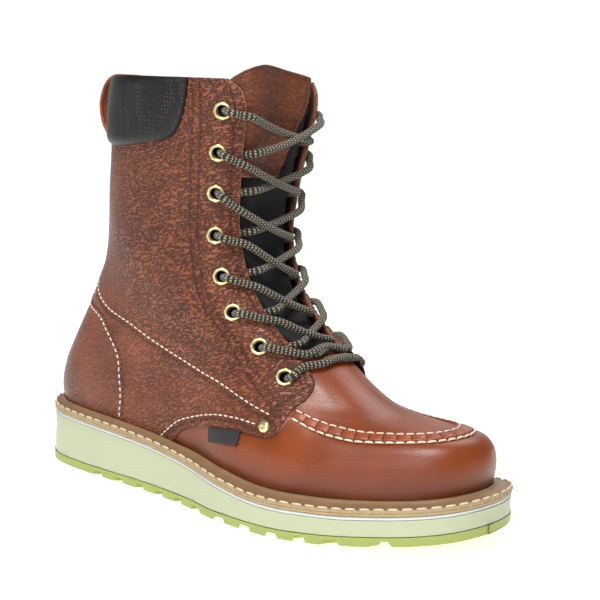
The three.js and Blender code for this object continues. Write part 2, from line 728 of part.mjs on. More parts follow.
// Edges of the tongue and of the leather facing on its upper part, by level, as shares of the
// ball breadth to the outer (negative) and inner side
const TONGUE_EDGES = table(['level', 'outer', 'inner'], [
  [8.2, -0.26, 0.26],
  [9, -0.28, 0.28],
  [10, -0.30, 0.30],
  [11, -0.31, 0.31],
  [12, -0.32, 0.32],
  [12.7, -0.325, 0.325],
  [13.2, -0.33, 0.33],
  [13.7, -0.335, 0.335],
  [14.4, -0.34, 0.34],
  [15.1, -0.35, 0.35],
  [15.9, -0.35, 0.35],
]);
const FACING_EDGES = table(['level', 'outer', 'inner'], [
  [13.2, -0.27, 0.085],
  [13.7, -0.285, 0.125],
  [14.4, -0.305, 0.17],
  [15.1, -0.325, 0.205],
  [15.9, -0.335, 0.225],
  [16.55, -0.335, 0.225],
]);

// A sheet on the tongue's form. Its top edge falls away by drop to both sides of its peak.
function tongueSheet(edges, near, far, drop) {
  const steps = 10;
  const grid = (depth) => edges.map(({ level, outer, inner }) =>
    Array.from({ length: steps + 1 }, (_, k) => {
      const share = k / steps;
      const point = tonguePoint(level, BALL_BREADTH * lerp(outer, inner, share), depth);
      const away = share < TONGUE_PEAK ? 1 - share / TONGUE_PEAK
        : (share - TONGUE_PEAK) / (1 - TONGUE_PEAK);
      point.z -= drop * away * away * ease(level, COLLAR_LEVEL - 1, COLLAR_LEVEL + 0.5);
      return point;
    }));
  return patchSolid(grid(near), grid(far));
}

const tongue = () =>
  tongueSheet(TONGUE_EDGES, FACING + FACING_GAP, FACING + FACING_GAP + TONGUE, 0);

const tongueFacing = () => tongueSheet(FACING_EDGES, 0, FACING, TONGUE_DROP);

// Pull loop: a strap bowed out behind the collar, its two ends laid one on the other
function pullLoop() {
  const base = OVERLAY + PAD_SEAT + PAD + 2 * CLEARANCE;
  const top = BOOT_HEIGHT;
  const surface = (y, z) => {
    let low = 12;
    let high = 16;
    const turnFor = (level) => Math.asin(y / (BALL_BREADTH * between(LEVELS, 'half', level)));
    for (let k = 0; k < 30; k += 1) {
      const middle = (low + high) / 2;
      if (lastPoint(middle, turnFor(middle)).z < z) low = middle;
      else high = middle;
    }
    return lastPoint(low, turnFor(low)).x;
  };
  const outer = [[0, 0], [0.12, 0.45], [0.3, 0.8], [0.55, 1], [0.8, 0.93], [0.95, 0.7], [1, 0.35],
    [1, 0]];
  const ringAt = (y) => {
    const at = (share, out) => {
      const z = top - LOOP_HEIGHT * (1 - share);
      return new THREE.Vector3(surface(y, Math.min(z, top - 1)) - base - out, y, z);
    };
    const outside = outer.map(([share, out]) => at(share, out * LOOP_BOW));
    for (const share of [0.75, 0.5, 0.25]) outside.push(at(share, 0));
    const thin = LOOP_STRAP / LOOP_HEIGHT;
    const inside = outer.slice(1, -1).map(([share, out]) => {
      const middle = lerp(share, 0.5, 2 * thin);
      return at(middle, Math.max(out * LOOP_BOW - LOOP_STRAP, LOOP_STRAP));
    });
    for (const share of [0.8, 0.55, 0.3]) inside.push(at(share, LOOP_STRAP));
    return { outside, inside };
  };
  const layers = [-1, -0.5, 0, 0.5, 1].map((share) => ringAt((share * LOOP_WIDTH) / 2));
  const block = ringSolid(layers.map(({ outside }) => outside));
  const widen = (ring, share) => ring.map((p) => new THREE.Vector3(p.x, p.y * share, p.z));
  const hole = ringSolid(layers.map(({ inside }) => widen(inside, 1.2)));
  return block.subtract(hole);
}

// Side tab: it hangs from the quarter's lower edge on the outer side
function sideTab() {
  const edge = [...QUARTER].reverse();
  const steps = 4;
  const grid = (proud) => [1, 0.5, 0].map((share) =>
    Array.from({ length: steps + 1 }, (_, k) => {
      const x = xAt(TAB_ALONG) + TAB_LENGTH * (k / steps - 0.5);
      const top = BOOT_HEIGHT * through(edge.slice(0, 7), 'along', 'up', alongX(x)) - TAB_DROP_GAP;
      const { level, turn } = lastAt(-1, x, top - TAB_DROP * share);
      return upperPoint(level, turn, proud);
    }));
  return patchSolid(grid(TAB_SEAT + TAB_THICKNESS), grid(TAB_SEAT));
}

// Lace: a tube through the points it is given
function tube(points) {
  const curve = new THREE.CatmullRomCurve3(points);
  const section = new THREE.Shape();
  const sides = 6;
  for (let k = 0; k < sides; k += 1) {
    const angle = (2 * Math.PI * k) / sides;
    const x = (LACE / 2) * Math.cos(angle);
    const y = (LACE / 2) * Math.sin(angle);
    if (k === 0) section.moveTo(x, y);
    else section.lineTo(x, y);
  }
  section.closePath();
  return manifold(new THREE.ExtrudeGeometry(section, {
    steps: points.length + 2, extrudePath: curve, bevelEnabled: false,
  }));
}

// How far the lace's middle stays above the last where it lies on a flap or on the vamp
const laceOn = (leather) => leather + LACE / 2 + LACE_SEAT;
const besideEyelet = (row) => throatGap(EYELETS[row].level)
  + EYELETS[row].margin * EYELET_MARGIN - EYELET_RADIUS - LACE / 2;

// One strand of a crossing: over the flap beside its eyelet, across in front of the tongue,
// and down to the other flap's edge. The lowest one goes over the vamp's edge.
function strand(row, side, lift) {
  const { level, outerDrop, innerDrop, outerFar, innerFar } = EYELETS[row];
  const drop = side < 0 ? outerDrop : innerDrop;
  const far = side < 0 ? outerFar : innerFar;
  const start = upperPoint(level, turnAt(level, side, besideEyelet(row)), laceOn(OVERLAY));
  const near = throatGap(level - drop) - LACE / 2;
  const opposite = throatGap(far) - LACE_TUCK * LACE;
  const edgeLevel = level - drop;
  const edge = upperPoint(edgeLevel, turnAt(edgeLevel, side, near), laceOn(OVERLAY));
  if (far > THROAT[0].level) {
    const end = upperPoint(far, turnAt(far, -side, opposite), CLEARANCE);
    const middle = edge.clone().lerp(end, 0.5);
    middle.x += lift;
    return tube([start, edge, middle, end]);
  }
  const over = [0.25, 0.5, 0.75, 1].map((share) => {
    const across = lerp(near, -opposite, share);
    const at = lerp(level, far, share) + LACE_RISE * Math.sin(Math.PI * share);
    const turn = turnAt(at, Math.sign(across) * side, Math.max(Math.abs(across), 0.05));
    return upperPoint(at, turn, LACE / 2 + VAMP_SEAT + lift * (1 - share));
  });
  return tube([start, edge, ...over]);
}

const crossing = (row) => strand(row, -1, LACE_CROWN).add(strand(row, 1, 0));

// The straight bar over the foot of the throat, between the lowest two eyelets
function bar() {
  const row = EYELETS.length - 1;
  const points = [-1, -0.5, 0, 0.5, 1].map((share) => {
    const level = lerp(BAR_LEVEL, BAR_END_LEVEL, Math.abs(share) ** 1.5);
    const distance = Math.max(Math.abs(share) * besideEyelet(row), 0.05);
    const turn = turnAt(level, Math.sign(share || 1), distance);
    return upperPoint(level, turn, laceOn(Math.abs(share) === 1 ? OVERLAY : OVERLAY / 2));
  });
  return tube(points);
}

const boot = new THREE.Group();
function piece(name, body, material) {
  const mesh = body.getMesh();
  const geometry = new THREE.BufferGeometry();
  geometry.setAttribute('position', new THREE.Float32BufferAttribute(mesh.vertProperties, 3));
  geometry.setIndex(new THREE.Uint32BufferAttribute(mesh.triVerts, 1));
  geometry.computeVertexNormals();
  const node = new THREE.Mesh(geometry, material);
  node.name = name;
  boot.add(node);
}

piece('outsole', outsole(), MATERIALS.outsole);
piece('wedge', wedge(), MATERIALS.wedge);
piece('midsole_strip', strip(), MATERIALS.strip);
piece('welt', welt(), MATERIALS.welt);
piece('insole', insole(), MATERIALS.insole);
piece('upper', upper(), MATERIALS.leather);
piece('tongue', tongue(), MATERIALS.textile);
piece('tongue_facing', tongueFacing(), MATERIALS.leather);
piece('collar_pad', collarPad(), MATERIALS.pad);
piece('pull_loop', pullLoop(), MATERIALS.leather);
piece('side_tab', sideTab(), MATERIALS.tab);
piece('sole_badge', badge(), MATERIALS.tab);
for (const [name, side] of SIDES) {
  for (let row = 0; row < EYELETS.length; row += 1) {
    piece(`eyelet_${name}_${row + 1}`, eyelet(row, side), MATERIALS.brass);
  }
  piece(`rivet_${name}`, rivet(side), MATERIALS.brass);
}
for (let row = 0; row < EYELETS.length - 1; row += 1) {
  piece(`lace_cross_${row + 1}`, crossing(row), MATERIALS.lace);
}
piece('lace_bar', bar(), MATERIALS.lace);

export default boot;
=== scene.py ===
"""A right-foot work boot: grained leather upper, raised toe seam, wedge sole with zigzag tread.

Everything is worked out in millimetres on the boot's own form, the last, and goes into the
meshes in metres. A place on the last is a level, from the welt (0) to the collar (16), and a
turn around it, from the heel (0) to the toe (plus or minus pi), negative on the outer side.
"""
import math

import bmesh
import bpy
import numpy as np
from mathutils import Matrix, Vector


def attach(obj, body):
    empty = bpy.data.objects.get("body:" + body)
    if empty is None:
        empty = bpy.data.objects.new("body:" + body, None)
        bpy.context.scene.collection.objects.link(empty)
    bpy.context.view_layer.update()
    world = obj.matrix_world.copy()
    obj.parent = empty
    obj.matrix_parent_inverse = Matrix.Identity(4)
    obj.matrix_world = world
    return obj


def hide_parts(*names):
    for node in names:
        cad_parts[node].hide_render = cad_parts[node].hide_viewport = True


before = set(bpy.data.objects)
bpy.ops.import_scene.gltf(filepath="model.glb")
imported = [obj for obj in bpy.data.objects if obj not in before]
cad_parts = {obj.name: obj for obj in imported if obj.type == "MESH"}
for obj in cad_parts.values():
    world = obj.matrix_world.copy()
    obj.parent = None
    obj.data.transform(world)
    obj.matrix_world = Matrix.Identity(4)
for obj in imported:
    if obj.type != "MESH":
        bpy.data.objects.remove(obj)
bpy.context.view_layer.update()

# The sizes of the last and the sole, as in the part's source
SOLE_LENGTH = 308.0
BALL_BREADTH = 112.8
BOOT_HEIGHT = 237.0
HEEL_HEIGHT = 30.0
FOREFOOT_HEIGHT = 13.8
TOE_SPRING = 12.0
SPRING_START = 0.6
OUTSOLE = 5.0
STRIP = 1.8
WELT = 3.9
WALL = 1.8
OVERLAY = 1.2
COLLAR_LEVEL = 16.0
LACE = 4.2
FACING = 1.5
TONGUE = 2.0

# The sole's outline: place along it, then its outer and inner side as shares of the breadth
OUTLINE = np.array([
    (0, 0, 0), (0.026, 0.213, 0.213), (0.094, 0.335, 0.337), (0.195, 0.371, 0.355),
    (0.325, 0.383, 0.335), (0.455, 0.424, 0.330), (0.552, 0.486, 0.413),
    (0.666, 0.502, 0.498), (0.763, 0.459, 0.490), (0.851, 0.378, 0.456),
    (0.922, 0.291, 0.409), (0.968, 0.186, 0.341), (1, -0.089, 0.089),
])
# The wedge's top: place along the sole, and share of the rise from forefoot to heel
WEDGE = np.array([
    (0, 1), (0.218, 0.87), (0.36, 0.69), (0.506, 0.39), (0.636, 0.08), (0.737, 0.03),
    (0.821, 0), (1, 0),
])
# front, front up, back, back up, follow, heel, ball, nose, oval, half
LEVELS = np.array([
    (0.969, 0.000, 0.023, 0.000, 1.00, 0.810, 0.825, 0.800, 0.00, 0.355),
    (0.975, 0.033, 0.016, 0.031, 1.00, 0.845, 0.855, 0.805, 0.00, 0.355),
    (0.976, 0.066, 0.016, 0.060, 1.00, 0.850, 0.860, 0.800, 0.00, 0.355),
    (0.969, 0.099, 0.021, 0.090, 1.00, 0.845, 0.840, 0.775, 0.00, 0.355),
    (0.950, 0.125, 0.029, 0.120, 1.00, 0.840, 0.790, 0.710, 0.03, 0.355),
    (0.912, 0.157, 0.044, 0.185, 0.85, 0.830, 0.740, 0.580, 0.12, 0.355),
    (0.857, 0.194, 0.065, 0.277, 0.60, 0.820, 0.700, 0.500, 0.26, 0.355),
    (0.799, 0.234, 0.086, 0.365, 0.38, 0.800, 0.660, 0.470, 0.42, 0.355),
    (0.737, 0.290, 0.106, 0.447, 0.20, 0.800, 0.620, 0.460, 0.60, 0.359),
    (0.675, 0.356, 0.123, 0.524, 0.08, 0.800, 0.600, 0.500, 0.78, 0.363),
    (0.614, 0.420, 0.135, 0.595, 0.00, 0.800, 0.600, 0.600, 0.93, 0.370),
    (0.558, 0.506, 0.142, 0.662, 0.00, 0.800, 0.600, 0.600, 1.00, 0.377),
    (0.531, 0.624, 0.147, 0.730, 0.00, 0.800, 0.600, 0.600, 1.00, 0.387),
    (0.542, 0.747, 0.152, 0.802, 0.00, 0.800, 0.600, 0.600, 1.00, 0.399),
    (0.565, 0.865, 0.154, 0.886, 0.00, 0.800, 0.600, 0.600, 1.00, 0.412),
    (0.580, 0.937, 0.157, 0.941, 0.00, 0.800, 0.600, 0.600, 1.00, 0.419),
    (0.581, 1.000, 0.166, 1.000, 0.00, 0.800, 0.600, 0.600, 1.00, 0.421),
    (0.582, 1.063, 0.170, 1.063, 0.00, 0.800, 0.600, 0.600, 1.00, 0.421),
])
LEVEL_NAMES = ("front", "front_up", "back", "back_up", "follow",
               "heel", "ball", "nose", "oval", "half")
# The throat: level, and half its gap as a share of the ball's breadth
THROAT = np.array([
    (9.3, 0.164), (10, 0.170), (11, 0.182), (12, 0.200), (13, 0.227), (14, 0.254),
    (15, 0.272), (15.5, 0.285), (16, 0.330), (17, 0.600),
])
THROAT_FOOT = THROAT[0, 0]
# level, margin, outer drop, inner drop, outer far, inner far
EYELETS = np.array([
    (14.85, 0.85, 0.15, 0.38, 13.95, 13.7),
    (13.65, 0.95, 0.2, 0.28, 12.9, 12.98),
    (12.85, 1.0, 0.3, 0.32, 12.0, 12.2),
    (12.0, 1.1, 0.08, 0.25, 11.28, 11.45),
    (11.15, 1.25, 0.1, 0.12, 10.42, 10.6),
    (10.2, 1.5, 0.0, 0.1, 9.6, 9.65),
    (9.05, 1.35, -0.05, 0.0, 9.1, 9.1),
    (8.0, 1.1, 0.0, 0.0, 8.0, 8.0),
])
EYELET_MARGIN = 8.5
# How far apart the pleats of the raised seam are
GATHER = 7.4

# The edge of the quarter that lies on the vamp: turn by level, round its tip at level 3.9
QUARTER_EDGE = np.array([
    (0, 1.345), (1.15, 1.404), (2.0, 1.461), (2.7, 1.555), (3.3, 1.655), (3.65, 1.75),
    (3.8, 1.82), (3.92, 1.895), (4.15, 1.93), (4.5, 1.962), (5.4, 2.033), (6.35, 2.153),
    (7.4, 2.367), (7.85, 2.48), (8.35, 2.587), (8.7, 2.606), (9.0, 2.610),
])

# The raised seam's middle: level by place along the sole
TOE_SEAM = np.array([
    (0.62, 6.35), (0.666, 5.95), (0.706, 5.45), (0.75, 5.05), (0.80, 4.8), (0.95, 4.75),
])

# Lines of stitches on the outer side, as level and turn
LONG_SEAM = np.array([
    (8.75, 0.0), (8.5, -0.28), (7.95, -0.536), (7.5, -0.819), (7.35, -1.058), (7.05, -1.234),
    (6.7, -1.448), (6.5, -1.587), (6.3, -1.712), (5.95, -1.819), (5.65, -1.920),
    (5.38, -1.99),
])
COUNTER_SEAM = np.array([
    (7.75, -0.18), (7.1, -0.366), (6.9, -0.706), (6.4, -0.85), (5.8, -0.945), (5.2, -0.995),
    (4.1, -1.02), (2.05, -1.045), (0.4, -1.033),
])
ARCH_SEAM = np.array([
    (0.35, -1.291), (1.25, -1.347), (2.2, -1.404), (3.0, -1.486), (3.95, -1.612),
    (4.4, -1.731), (4.55, -1.813), (4.6, -1.872),
])
EYESTAY_SEAM = np.array([
    (15.85, -1.95), (15.2, -1.97), (13.65, -2.033), (12.65, -2.084), (11.55, -2.09),
    (10.3, -2.021), (9.3, -2.033), (7.8, -2.027), (6.45, -2.027), (5.9, -2.045),
])

# Colours, as sRGB hex. The dark leather tones colour random patches and also serve as painted
# shade in creases and grooves; the light tone colours patches and also serves as painted
# highlight on the fold ridges
LEATHER_RED = "6a3017"
LEATHER_DARK = "34120a"
LEATHER_LIGHT = "a15c3a"
VAMP_RED = "74310c"
VAMP_DARK = "5e260c"
CUT_EDGE = "94694a"


def linear(code):
    """sRGB hex to a linear colour: each channel c becomes ((c + 0.055) / 1.055) ** 2.4."""
    values = [int(code[k:k + 2], 16) / 255 for k in (0, 2, 4)]
    return tuple(c / 12.92 if c < 0.04045 else ((c + 0.055) / 1.055) ** 2.4
                 for c in values) + (1.0,)


def through(rows, at):
    """Cubic through the points that never overshoots: end slopes are the chords', inner
    slopes the harmonic mean of the chords on both sides, or 0 where these change sign."""
    x, y = rows[:, 0], rows[:, 1]
    chord = np.diff(y) / np.diff(x)
    before, after = chord[:-1], chord[1:]
    same = before * after > 0
    total = np.where(same, before + after, 1.0)
    inner = np.where(same, 2 * before * after / total, 0.0)
    slope = np.concatenate([chord[:1], inner, chord[-1:]])
    value = np.clip(at, x[0], x[-1])
    k = np.clip(np.searchsorted(x, value, side="left") - 1, 0, len(x) - 2)
    span = x[k + 1] - x[k]
    t = (value - x[k]) / span
    rise = y[k] * (1 + 2 * t) * (1 - t) ** 2 + y[k + 1] * t * t * (3 - 2 * t)
    return rise + span * (slope[k] * t * (1 - t) ** 2 - slope[k + 1] * t * t * (1 - t))


def between(values, at):
    """Catmull-Rom curve through equally spaced values."""
    wide = np.concatenate([[2 * values[0] - values[1]], values, [2 * values[-1] - values[-2]]])
    place = np.clip(at, 0, len(values) - 1)
    k = np.minimum(np.floor(place).astype(int), len(values) - 2)
    t = place - k
    a, b, c, d = wide[k], wide[k + 1], wide[k + 2], wide[k + 3]
    return 0.5 * (2 * b + (c - a) * t + (2 * a - 5 * b + 4 * c - d) * t ** 2
                  + (3 * b - a - 3 * c + d) * t ** 3)


def ease(value, start, end):
    """0 before start, 1 after end and 3 t^2 - 2 t^3 between."""
    t = np.clip((value - start) / (end - start), 0, 1)
    return t * t * (3 - 2 * t)


def quarter_round(share):
    """Height of a quarter of a circle, 0 at share 0 and 1 from share 1."""
    return np.sqrt(np.clip(1 - (1 - np.clip(share, 0, 1)) ** 2, 0, 1))


def mix(a, b, share):
    return a + (b - a) * share


def along(x):
    return x / SOLE_LENGTH + 0.5


def ground(x):
    """Height of the tread: flat, then rising as a square to the toe spring."""
    rest = np.maximum(along(x) - SPRING_START, 0) / (1 - SPRING_START)
    return TOE_SPRING * rest ** 2


def wedge_top(x):
    return ground(x) + FOREFOOT_HEIGHT + (HEEL_HEIGHT - FOREFOOT_HEIGHT) * through(WEDGE, along(x))


def strip_top(x):
    return wedge_top(x) + STRIP


def welt_top(x):
    return strip_top(x) + WELT


def reach(side, share):
    """Breadth of the sole to one side of its axis, over the angle whose cosine runs along it."""
    angle = np.arccos(np.clip(1 - 2 * share, -1, 1))
    rows = np.arccos(1 - 2 * OUTLINE[:, 0])
    outer = through(np.c_[rows, OUTLINE[:, 1]], angle)
    inner = through(np.c_[rows, OUTLINE[:, 2]], angle)
    return BALL_BREADTH * np.where(side < 0, outer, inner)


def column(name, level):
    return between(LEVELS[:, LEVEL_NAMES.index(name)], level)


def last(level, turn):
    """The last: x runs from back to front with (1 - cos turn) / 2, y mixes the foot's outline
    with half the leg's breadth times sin turn, z is the welt's line and a share of height."""
    level, turn = np.broadcast_arrays(np.asarray(level, float), np.asarray(turn, float))
    turn = np.where(turn > math.pi, turn - 2 * math.pi, turn)
    turn = np.where(turn < -math.pi, turn + 2 * math.pi, turn)
    share = (1 - np.cos(turn)) / 2
    back = (column("back", level) - 0.5) * SOLE_LENGTH
    front = (column("front", level) - 0.5) * SOLE_LENGTH
    x = mix(back, front, share)
    scale = mix(column("heel", level), column("ball", level), ease(share, 0.2, 0.6))
    scale = mix(scale, column("nose", level), ease(share, 0.68, 0.95))
    foot = scale * reach(turn, share)
    leg = BALL_BREADTH * column("half", level) * np.sin(np.abs(turn))
    y = np.where(turn < 0, -1.0, 1.0) * mix(foot, leg, column("oval", level))
    up = BOOT_HEIGHT * mix(column("back_up", level), column("front_up", level), share)
    return np.stack([x, y, column("follow", level) * welt_top(x) + up], axis=-1)


def unit(vectors):
    return vectors / np.maximum(np.linalg.norm(vectors, axis=-1, keepdims=True), 1e-12)


def ring_of(first, second, angle):
    """Points of a unit circle in the plane of two axes, for each pair of axes."""
    return (first[..., None, :] * np.cos(angle)[:, None]
            + second[..., None, :] * np.sin(angle)[:, None])


def outward(level, turn):
    """The last's normal, from the differences a hundredth of a level and of a turn away."""
    step = 0.01
    level, turn = np.broadcast_arrays(np.asarray(level, float), np.asarray(turn, float))
    around = last(level, turn + step) - last(level, turn - step)
    up = last(level + step, turn) - last(np.maximum(level - step, 0), turn)
    return unit(np.cross(up, around))


def proud(level, turn, height):
    """A place on the last, moved out along its normal by height."""
    return last(level, turn) + outward(level, turn) * np.asarray(height)[..., None]


def throat_gap(level):
    return BALL_BREADTH * through(THROAT, level)


def turn_at(level, side, distance):
    """The turn in the front half where the last is that far from the middle, by halving."""
    level, distance = np.broadcast_arrays(np.asarray(level, float), np.asarray(distance, float))
    low = np.full(level.shape, math.pi / 2)
    high = np.full(level.shape, math.pi)
    for _ in range(34):
        middle = (low + high) / 2
        wide = side * last(level, side * middle)[..., 1] > distance
        low = np.where(wide, middle, low)
        high = np.where(wide, high, middle)
    return side * (low + high) / 2


def quarter_edge(level, side):
    """The quarter's free edge: the flap beside the throat above level 9.3, the line on the
    vamp below it."""
    above = np.maximum(level, THROAT_FOOT)
    flap = np.abs(turn_at(above, side, throat_gap(above)))
    return mix(through(QUARTER_EDGE, level), flap, ease(level, 8.9, 9.35))


def lengths(points):
    """How far along a row of points each of them is."""
    return np.concatenate([[0], np.cumsum(np.linalg.norm(np.diff(points, axis=0), axis=1))])


def sampled(at, length, values):
    """Rows of values, each at its length along a line, read at other lengths."""
    return np.stack([np.interp(at, length, each) for each in values.T], axis=-1)


def even_rows(low, high, count, turn=1.5):
    """Levels from low to high that lie equally far apart up the side."""
    fine = np.linspace(low, high, 800)
    length = lengths(last(fine, turn))
    return np.interp(np.linspace(0, length[-1], count), length, fine)


class Line:
    """A line in space with the normals of the face it lies on and its length so far."""

    def __init__(self, points, normals):
        self.points = points
        self.normals = normals
        self.length = lengths(points)


def line_on(rows, side=-1, lift=OVERLAY, shift=0.0):
    """A smooth line through levels and turns, every 0.6 mm, moved sideways by shift."""
    rows = np.asarray(rows, float)
    fine = np.linspace(0, len(rows) - 1, 60 * len(rows))
    level = between(rows[:, 0], fine)
    turn = between(rows[:, 1], fine) * (-side)
    first = Line(proud(level, turn, lift), outward(level, turn))
    even = np.arange(0, first.length[-1], 0.6)
    points = sampled(even, first.length, first.points)
    normals = unit(sampled(even, first.length, first.normals))
    across = np.cross(unit(np.gradient(points, axis=0)), normals)
    return Line(points + across * shift, normals)


def distance_to(lines, points):
    """The least distance from each point to the points of the lines, block by block."""
    targets = np.concatenate([line.points for line in lines])
    flat = points.reshape(-1, 3)
    found = np.empty(len(flat))
    squares = (targets ** 2).sum(axis=1)
    for start in range(0, len(flat), 6000):
        block = flat[start:start + 6000]
        gap = (block ** 2).sum(axis=1)[:, None] + squares[None] - 2 * block @ targets.T
        found[start:start + 6000] = np.sqrt(np.maximum(gap.min(axis=1), 0))
    return found.reshape(points.shape[:-1])


# Nodes and meshes

def add(tree, kind, inputs=(), **settings):
    """One node, with its settings and what goes into its sockets."""
    made = tree.nodes.new(kind)
    for key, value in settings.items():
        setattr(made, key, value)
    for socket, value in dict(inputs).items():
        if isinstance(value, bpy.types.NodeSocket):
            tree.links.new(value, made.inputs[socket])
        else:
            made.inputs[socket].default_value = value
    return made


def material(name, colour, roughness, **shader):
    """A new node material with its shader's plain values set on the shader itself."""
    made = bpy.data.materials.new(name)
    made.use_nodes = True
    surface = made.node_tree.nodes["Principled BSDF"]
    surface.inputs["Base Color"].default_value = linear(colour)
    surface.inputs["Roughness"].default_value = roughness
    for key, value in shader.items():
        surface.inputs[key.replace("_", " ")].default_value = value
    return made, made.node_tree


def dressed(made, body, height=None, strength=0.0, distance=0.0, rough=None):
    """The material with its colour, its bump and its roughness linked to the shader."""
    tree = made.node_tree
    surface = tree.nodes["Principled BSDF"]
    tree.links.new(body, surface.inputs["Base Color"])
    if height is not None:
        bump = add(tree, "ShaderNodeBump",
                   {"Height": height, "Strength": strength, "Distance": distance})
        tree.links.new(bump.outputs[0], surface.inputs["Normal"])
    if rough is not None:
        tree.links.new(rough, surface.inputs["Roughness"])
    return made


def marked(tree, name):
    """A number that the mesh carries on its points."""
    return add(tree, "ShaderNodeAttribute", attribute_name=name).outputs["Fac"]


def ranged(tree, value, low, high, first, last_value):
    """A smooth step from first at low to last_value at high."""
    return add(tree, "ShaderNodeMapRange", {"Value": value, "From Min": low, "From Max": high,
                                            "To Min": first, "To Max": last_value},
               interpolation_type="SMOOTHSTEP").outputs[0]


def maths(tree, operation, *values):
    return add(tree, "ShaderNodeMath", dict(enumerate(values)), operation=operation).outputs[0]


def times(tree, a, b):
    return maths(tree, "MULTIPLY", a, b)


def sine(tree, value, period):
    return maths(tree, "SINE", times(tree, value, 2 * math.pi / period))


def blended(tree, share, first, second):
    pair = [linear(c) if isinstance(c, str) else c for c in (first, second)]
    return add(tree, "ShaderNodeMix", {0: share, 6: pair[0], 7: pair[1]},
               data_type="RGBA").outputs[2]


def placed(tree, scale=(1, 1, 1), turn=(0, 0, 0)):
    """Object coordinates, turned and then scaled."""
    here = add(tree, "ShaderNodeTexCoord").outputs["Object"]
    turned = add(tree, "ShaderNodeMapping", {"Vector": here, "Rotation": turn}).outputs[0]
    return add(tree, "ShaderNodeMapping", {"Vector": turned, "Scale": scale}).outputs[0]


def parted(tree, vector):
    return add(tree, "ShaderNodeSeparateXYZ", {0: vector}).outputs


def noise(tree, scale, detail, at=None, output="Fac", **inputs):
    at = placed(tree) if at is None else at
    return add(tree, "ShaderNodeTexNoise",
               {"Vector": at, "Scale": scale, "Detail": detail, **inputs}).outputs[output]


def cells(tree, at, scale, feature="DISTANCE_TO_EDGE", **inputs):
    return add(tree, "ShaderNodeTexVoronoi", {"Vector": at, "Scale": scale, **inputs},
               feature=feature).outputs["Distance"]


def dotted(tree, here, way):
    return add(tree, "ShaderNodeVectorMath", {0: here, 1: way},
               operation="DOT_PRODUCT").outputs["Value"]


def grid_quads(index):
    """Quads between neighbours in a grid of point numbers."""
    quads = np.stack([index[:-1, :-1], index[:-1, 1:], index[1:, 1:], index[1:, :-1]], axis=-1)
    return quads.reshape(-1, 4)


def shell(outer, inner):
    """Quads of two grids of one size, the inner one turned over, and of the strips that join
    their borders. Returns points, quads and how many quads are the outer grid's."""
    n = outer.shape[0] * outer.shape[1]
    index = np.arange(n).reshape(outer.shape[:2])
    top = grid_quads(index)
    borders = ((index[0, 1:], index[0, :-1]), (index[-1, :-1], index[-1, 1:]),
               (index[:-1, 0], index[1:, 0]), (index[1:, -1], index[:-1, -1]))
    strips = [np.stack([a, b, b + n, a + n], axis=-1) for a, b in borders]
    quads = np.concatenate([top, top[:, ::-1] + n, *strips])
    return np.concatenate([outer.reshape(-1, 3), inner.reshape(-1, 3)]), quads, len(top)


def punched(points, quads, shape, count, centres, axes, radius):
    """The quads of a shell without those that lie within radius of an axis, and with a wall
    round each hole. count is the number of quads of one face, shape that of its grid."""
    middle = points[quads[:count]].mean(axis=1)
    gone = np.zeros(count, bool)
    for centre, axis in zip(centres, axes):
        away = middle - centre
        up = away @ axis
        gone |= (np.linalg.norm(away - up[:, None] * axis, axis=1) < radius) & (abs(up) < 6)
    index = np.arange(shape[0] * shape[1]).reshape(shape)
    n = index.size
    gone = gone.reshape(shape[0] - 1, shape[1] - 1)
    kept = ~gone.ravel()
    walls = []
    for a, b, here, there in (
            (index[1:, 1:-1], index[:-1, 1:-1], gone[:, :-1], gone[:, 1:]),
            (index[1:-1, :-1], index[1:-1, 1:], gone[:-1], gone[1:])):
        for one, other, side in ((a, b, ~here & there), (b, a, here & ~there)):
            one, other = one[side], other[side]
            walls.append(np.stack([one, other, other + n, one + n], axis=-1))
    faces = [quads[:count][kept], quads[count:2 * count][kept], quads[2 * count:], *walls]
    slots = np.repeat([0, 1, 0], [kept.sum(), kept.sum(), sum(len(f) for f in faces[2:])])
    return np.concatenate(faces), slots


def loops(rings, closed):
    """Quads of closed rings of points, one after the other, and round again if closed."""
    index = np.arange(rings.shape[0] * rings.shape[1]).reshape(rings.shape[:2])
    index = np.c_[index, index[:, :1]]
    if closed:
        index = np.r_[index, index[:1]]
    return rings.reshape(-1, 3), grid_quads(index)


def on_both(outer, inner=0.0):
    """A mark's values for the outer grid of a shell and one value for the inner grid."""
    return np.concatenate([outer.ravel(), np.full(outer.size, float(inner))])


def piece(name, points, quads, skin, slots=None, marks=None, uv=None, sharp=None, weld=False):
    """A mesh in metres from points in millimetres. marks are numbers on the points, uv is a
    place on the surface for each point, slots says which quads take the lining."""
    used, quads = np.unique(quads, return_inverse=True)
    quads = quads.reshape(-1, 4)
    points = points[used]
    corners = points[quads]
    across = np.cross(corners[:, 2] - corners[:, 0], corners[:, 3] - corners[:, 1])
    if (corners.mean(axis=1) * across).sum() < 0:
        quads = quads[:, ::-1]
    mesh = bpy.data.meshes.new(name)
    mesh.from_pydata(points / 1000, [], quads)
    mesh.polygons.foreach_set("use_smooth", np.ones(len(quads), bool))
    mesh.materials.append(skin)
    if slots is not None:
        mesh.materials.append(LINING)
        mesh.polygons.foreach_set("material_index", slots.astype(np.int32))
    for key, values in (marks or {}).items():
        layer = mesh.attributes.new(key, "FLOAT", "POINT")
        layer.data.foreach_set("value", values.ravel()[used].astype(np.float32))
    if uv is not None:
        layer = mesh.uv_layers.new(name="place")
        layer.data.foreach_set("uv", uv[used][quads.ravel()].astype(np.float32).ravel())
    mesh.update()
    if weld:
        work = bmesh.new()
        work.from_mesh(mesh)
        bmesh.ops.remove_doubles(work, verts=work.verts, dist=1e-6)
        work.to_mesh(mesh)
        work.free()
    if sharp is not None:
        mesh.set_sharp_from_angle(angle=math.radians(sharp))
    made = linked(name, mesh)
    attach(made, "root")
    return made


def linked(name, data):
    """An object with that data in the scene."""
    made = bpy.data.objects.new(name, data)
    bpy.context.scene.collection.objects.link(made)
    return made


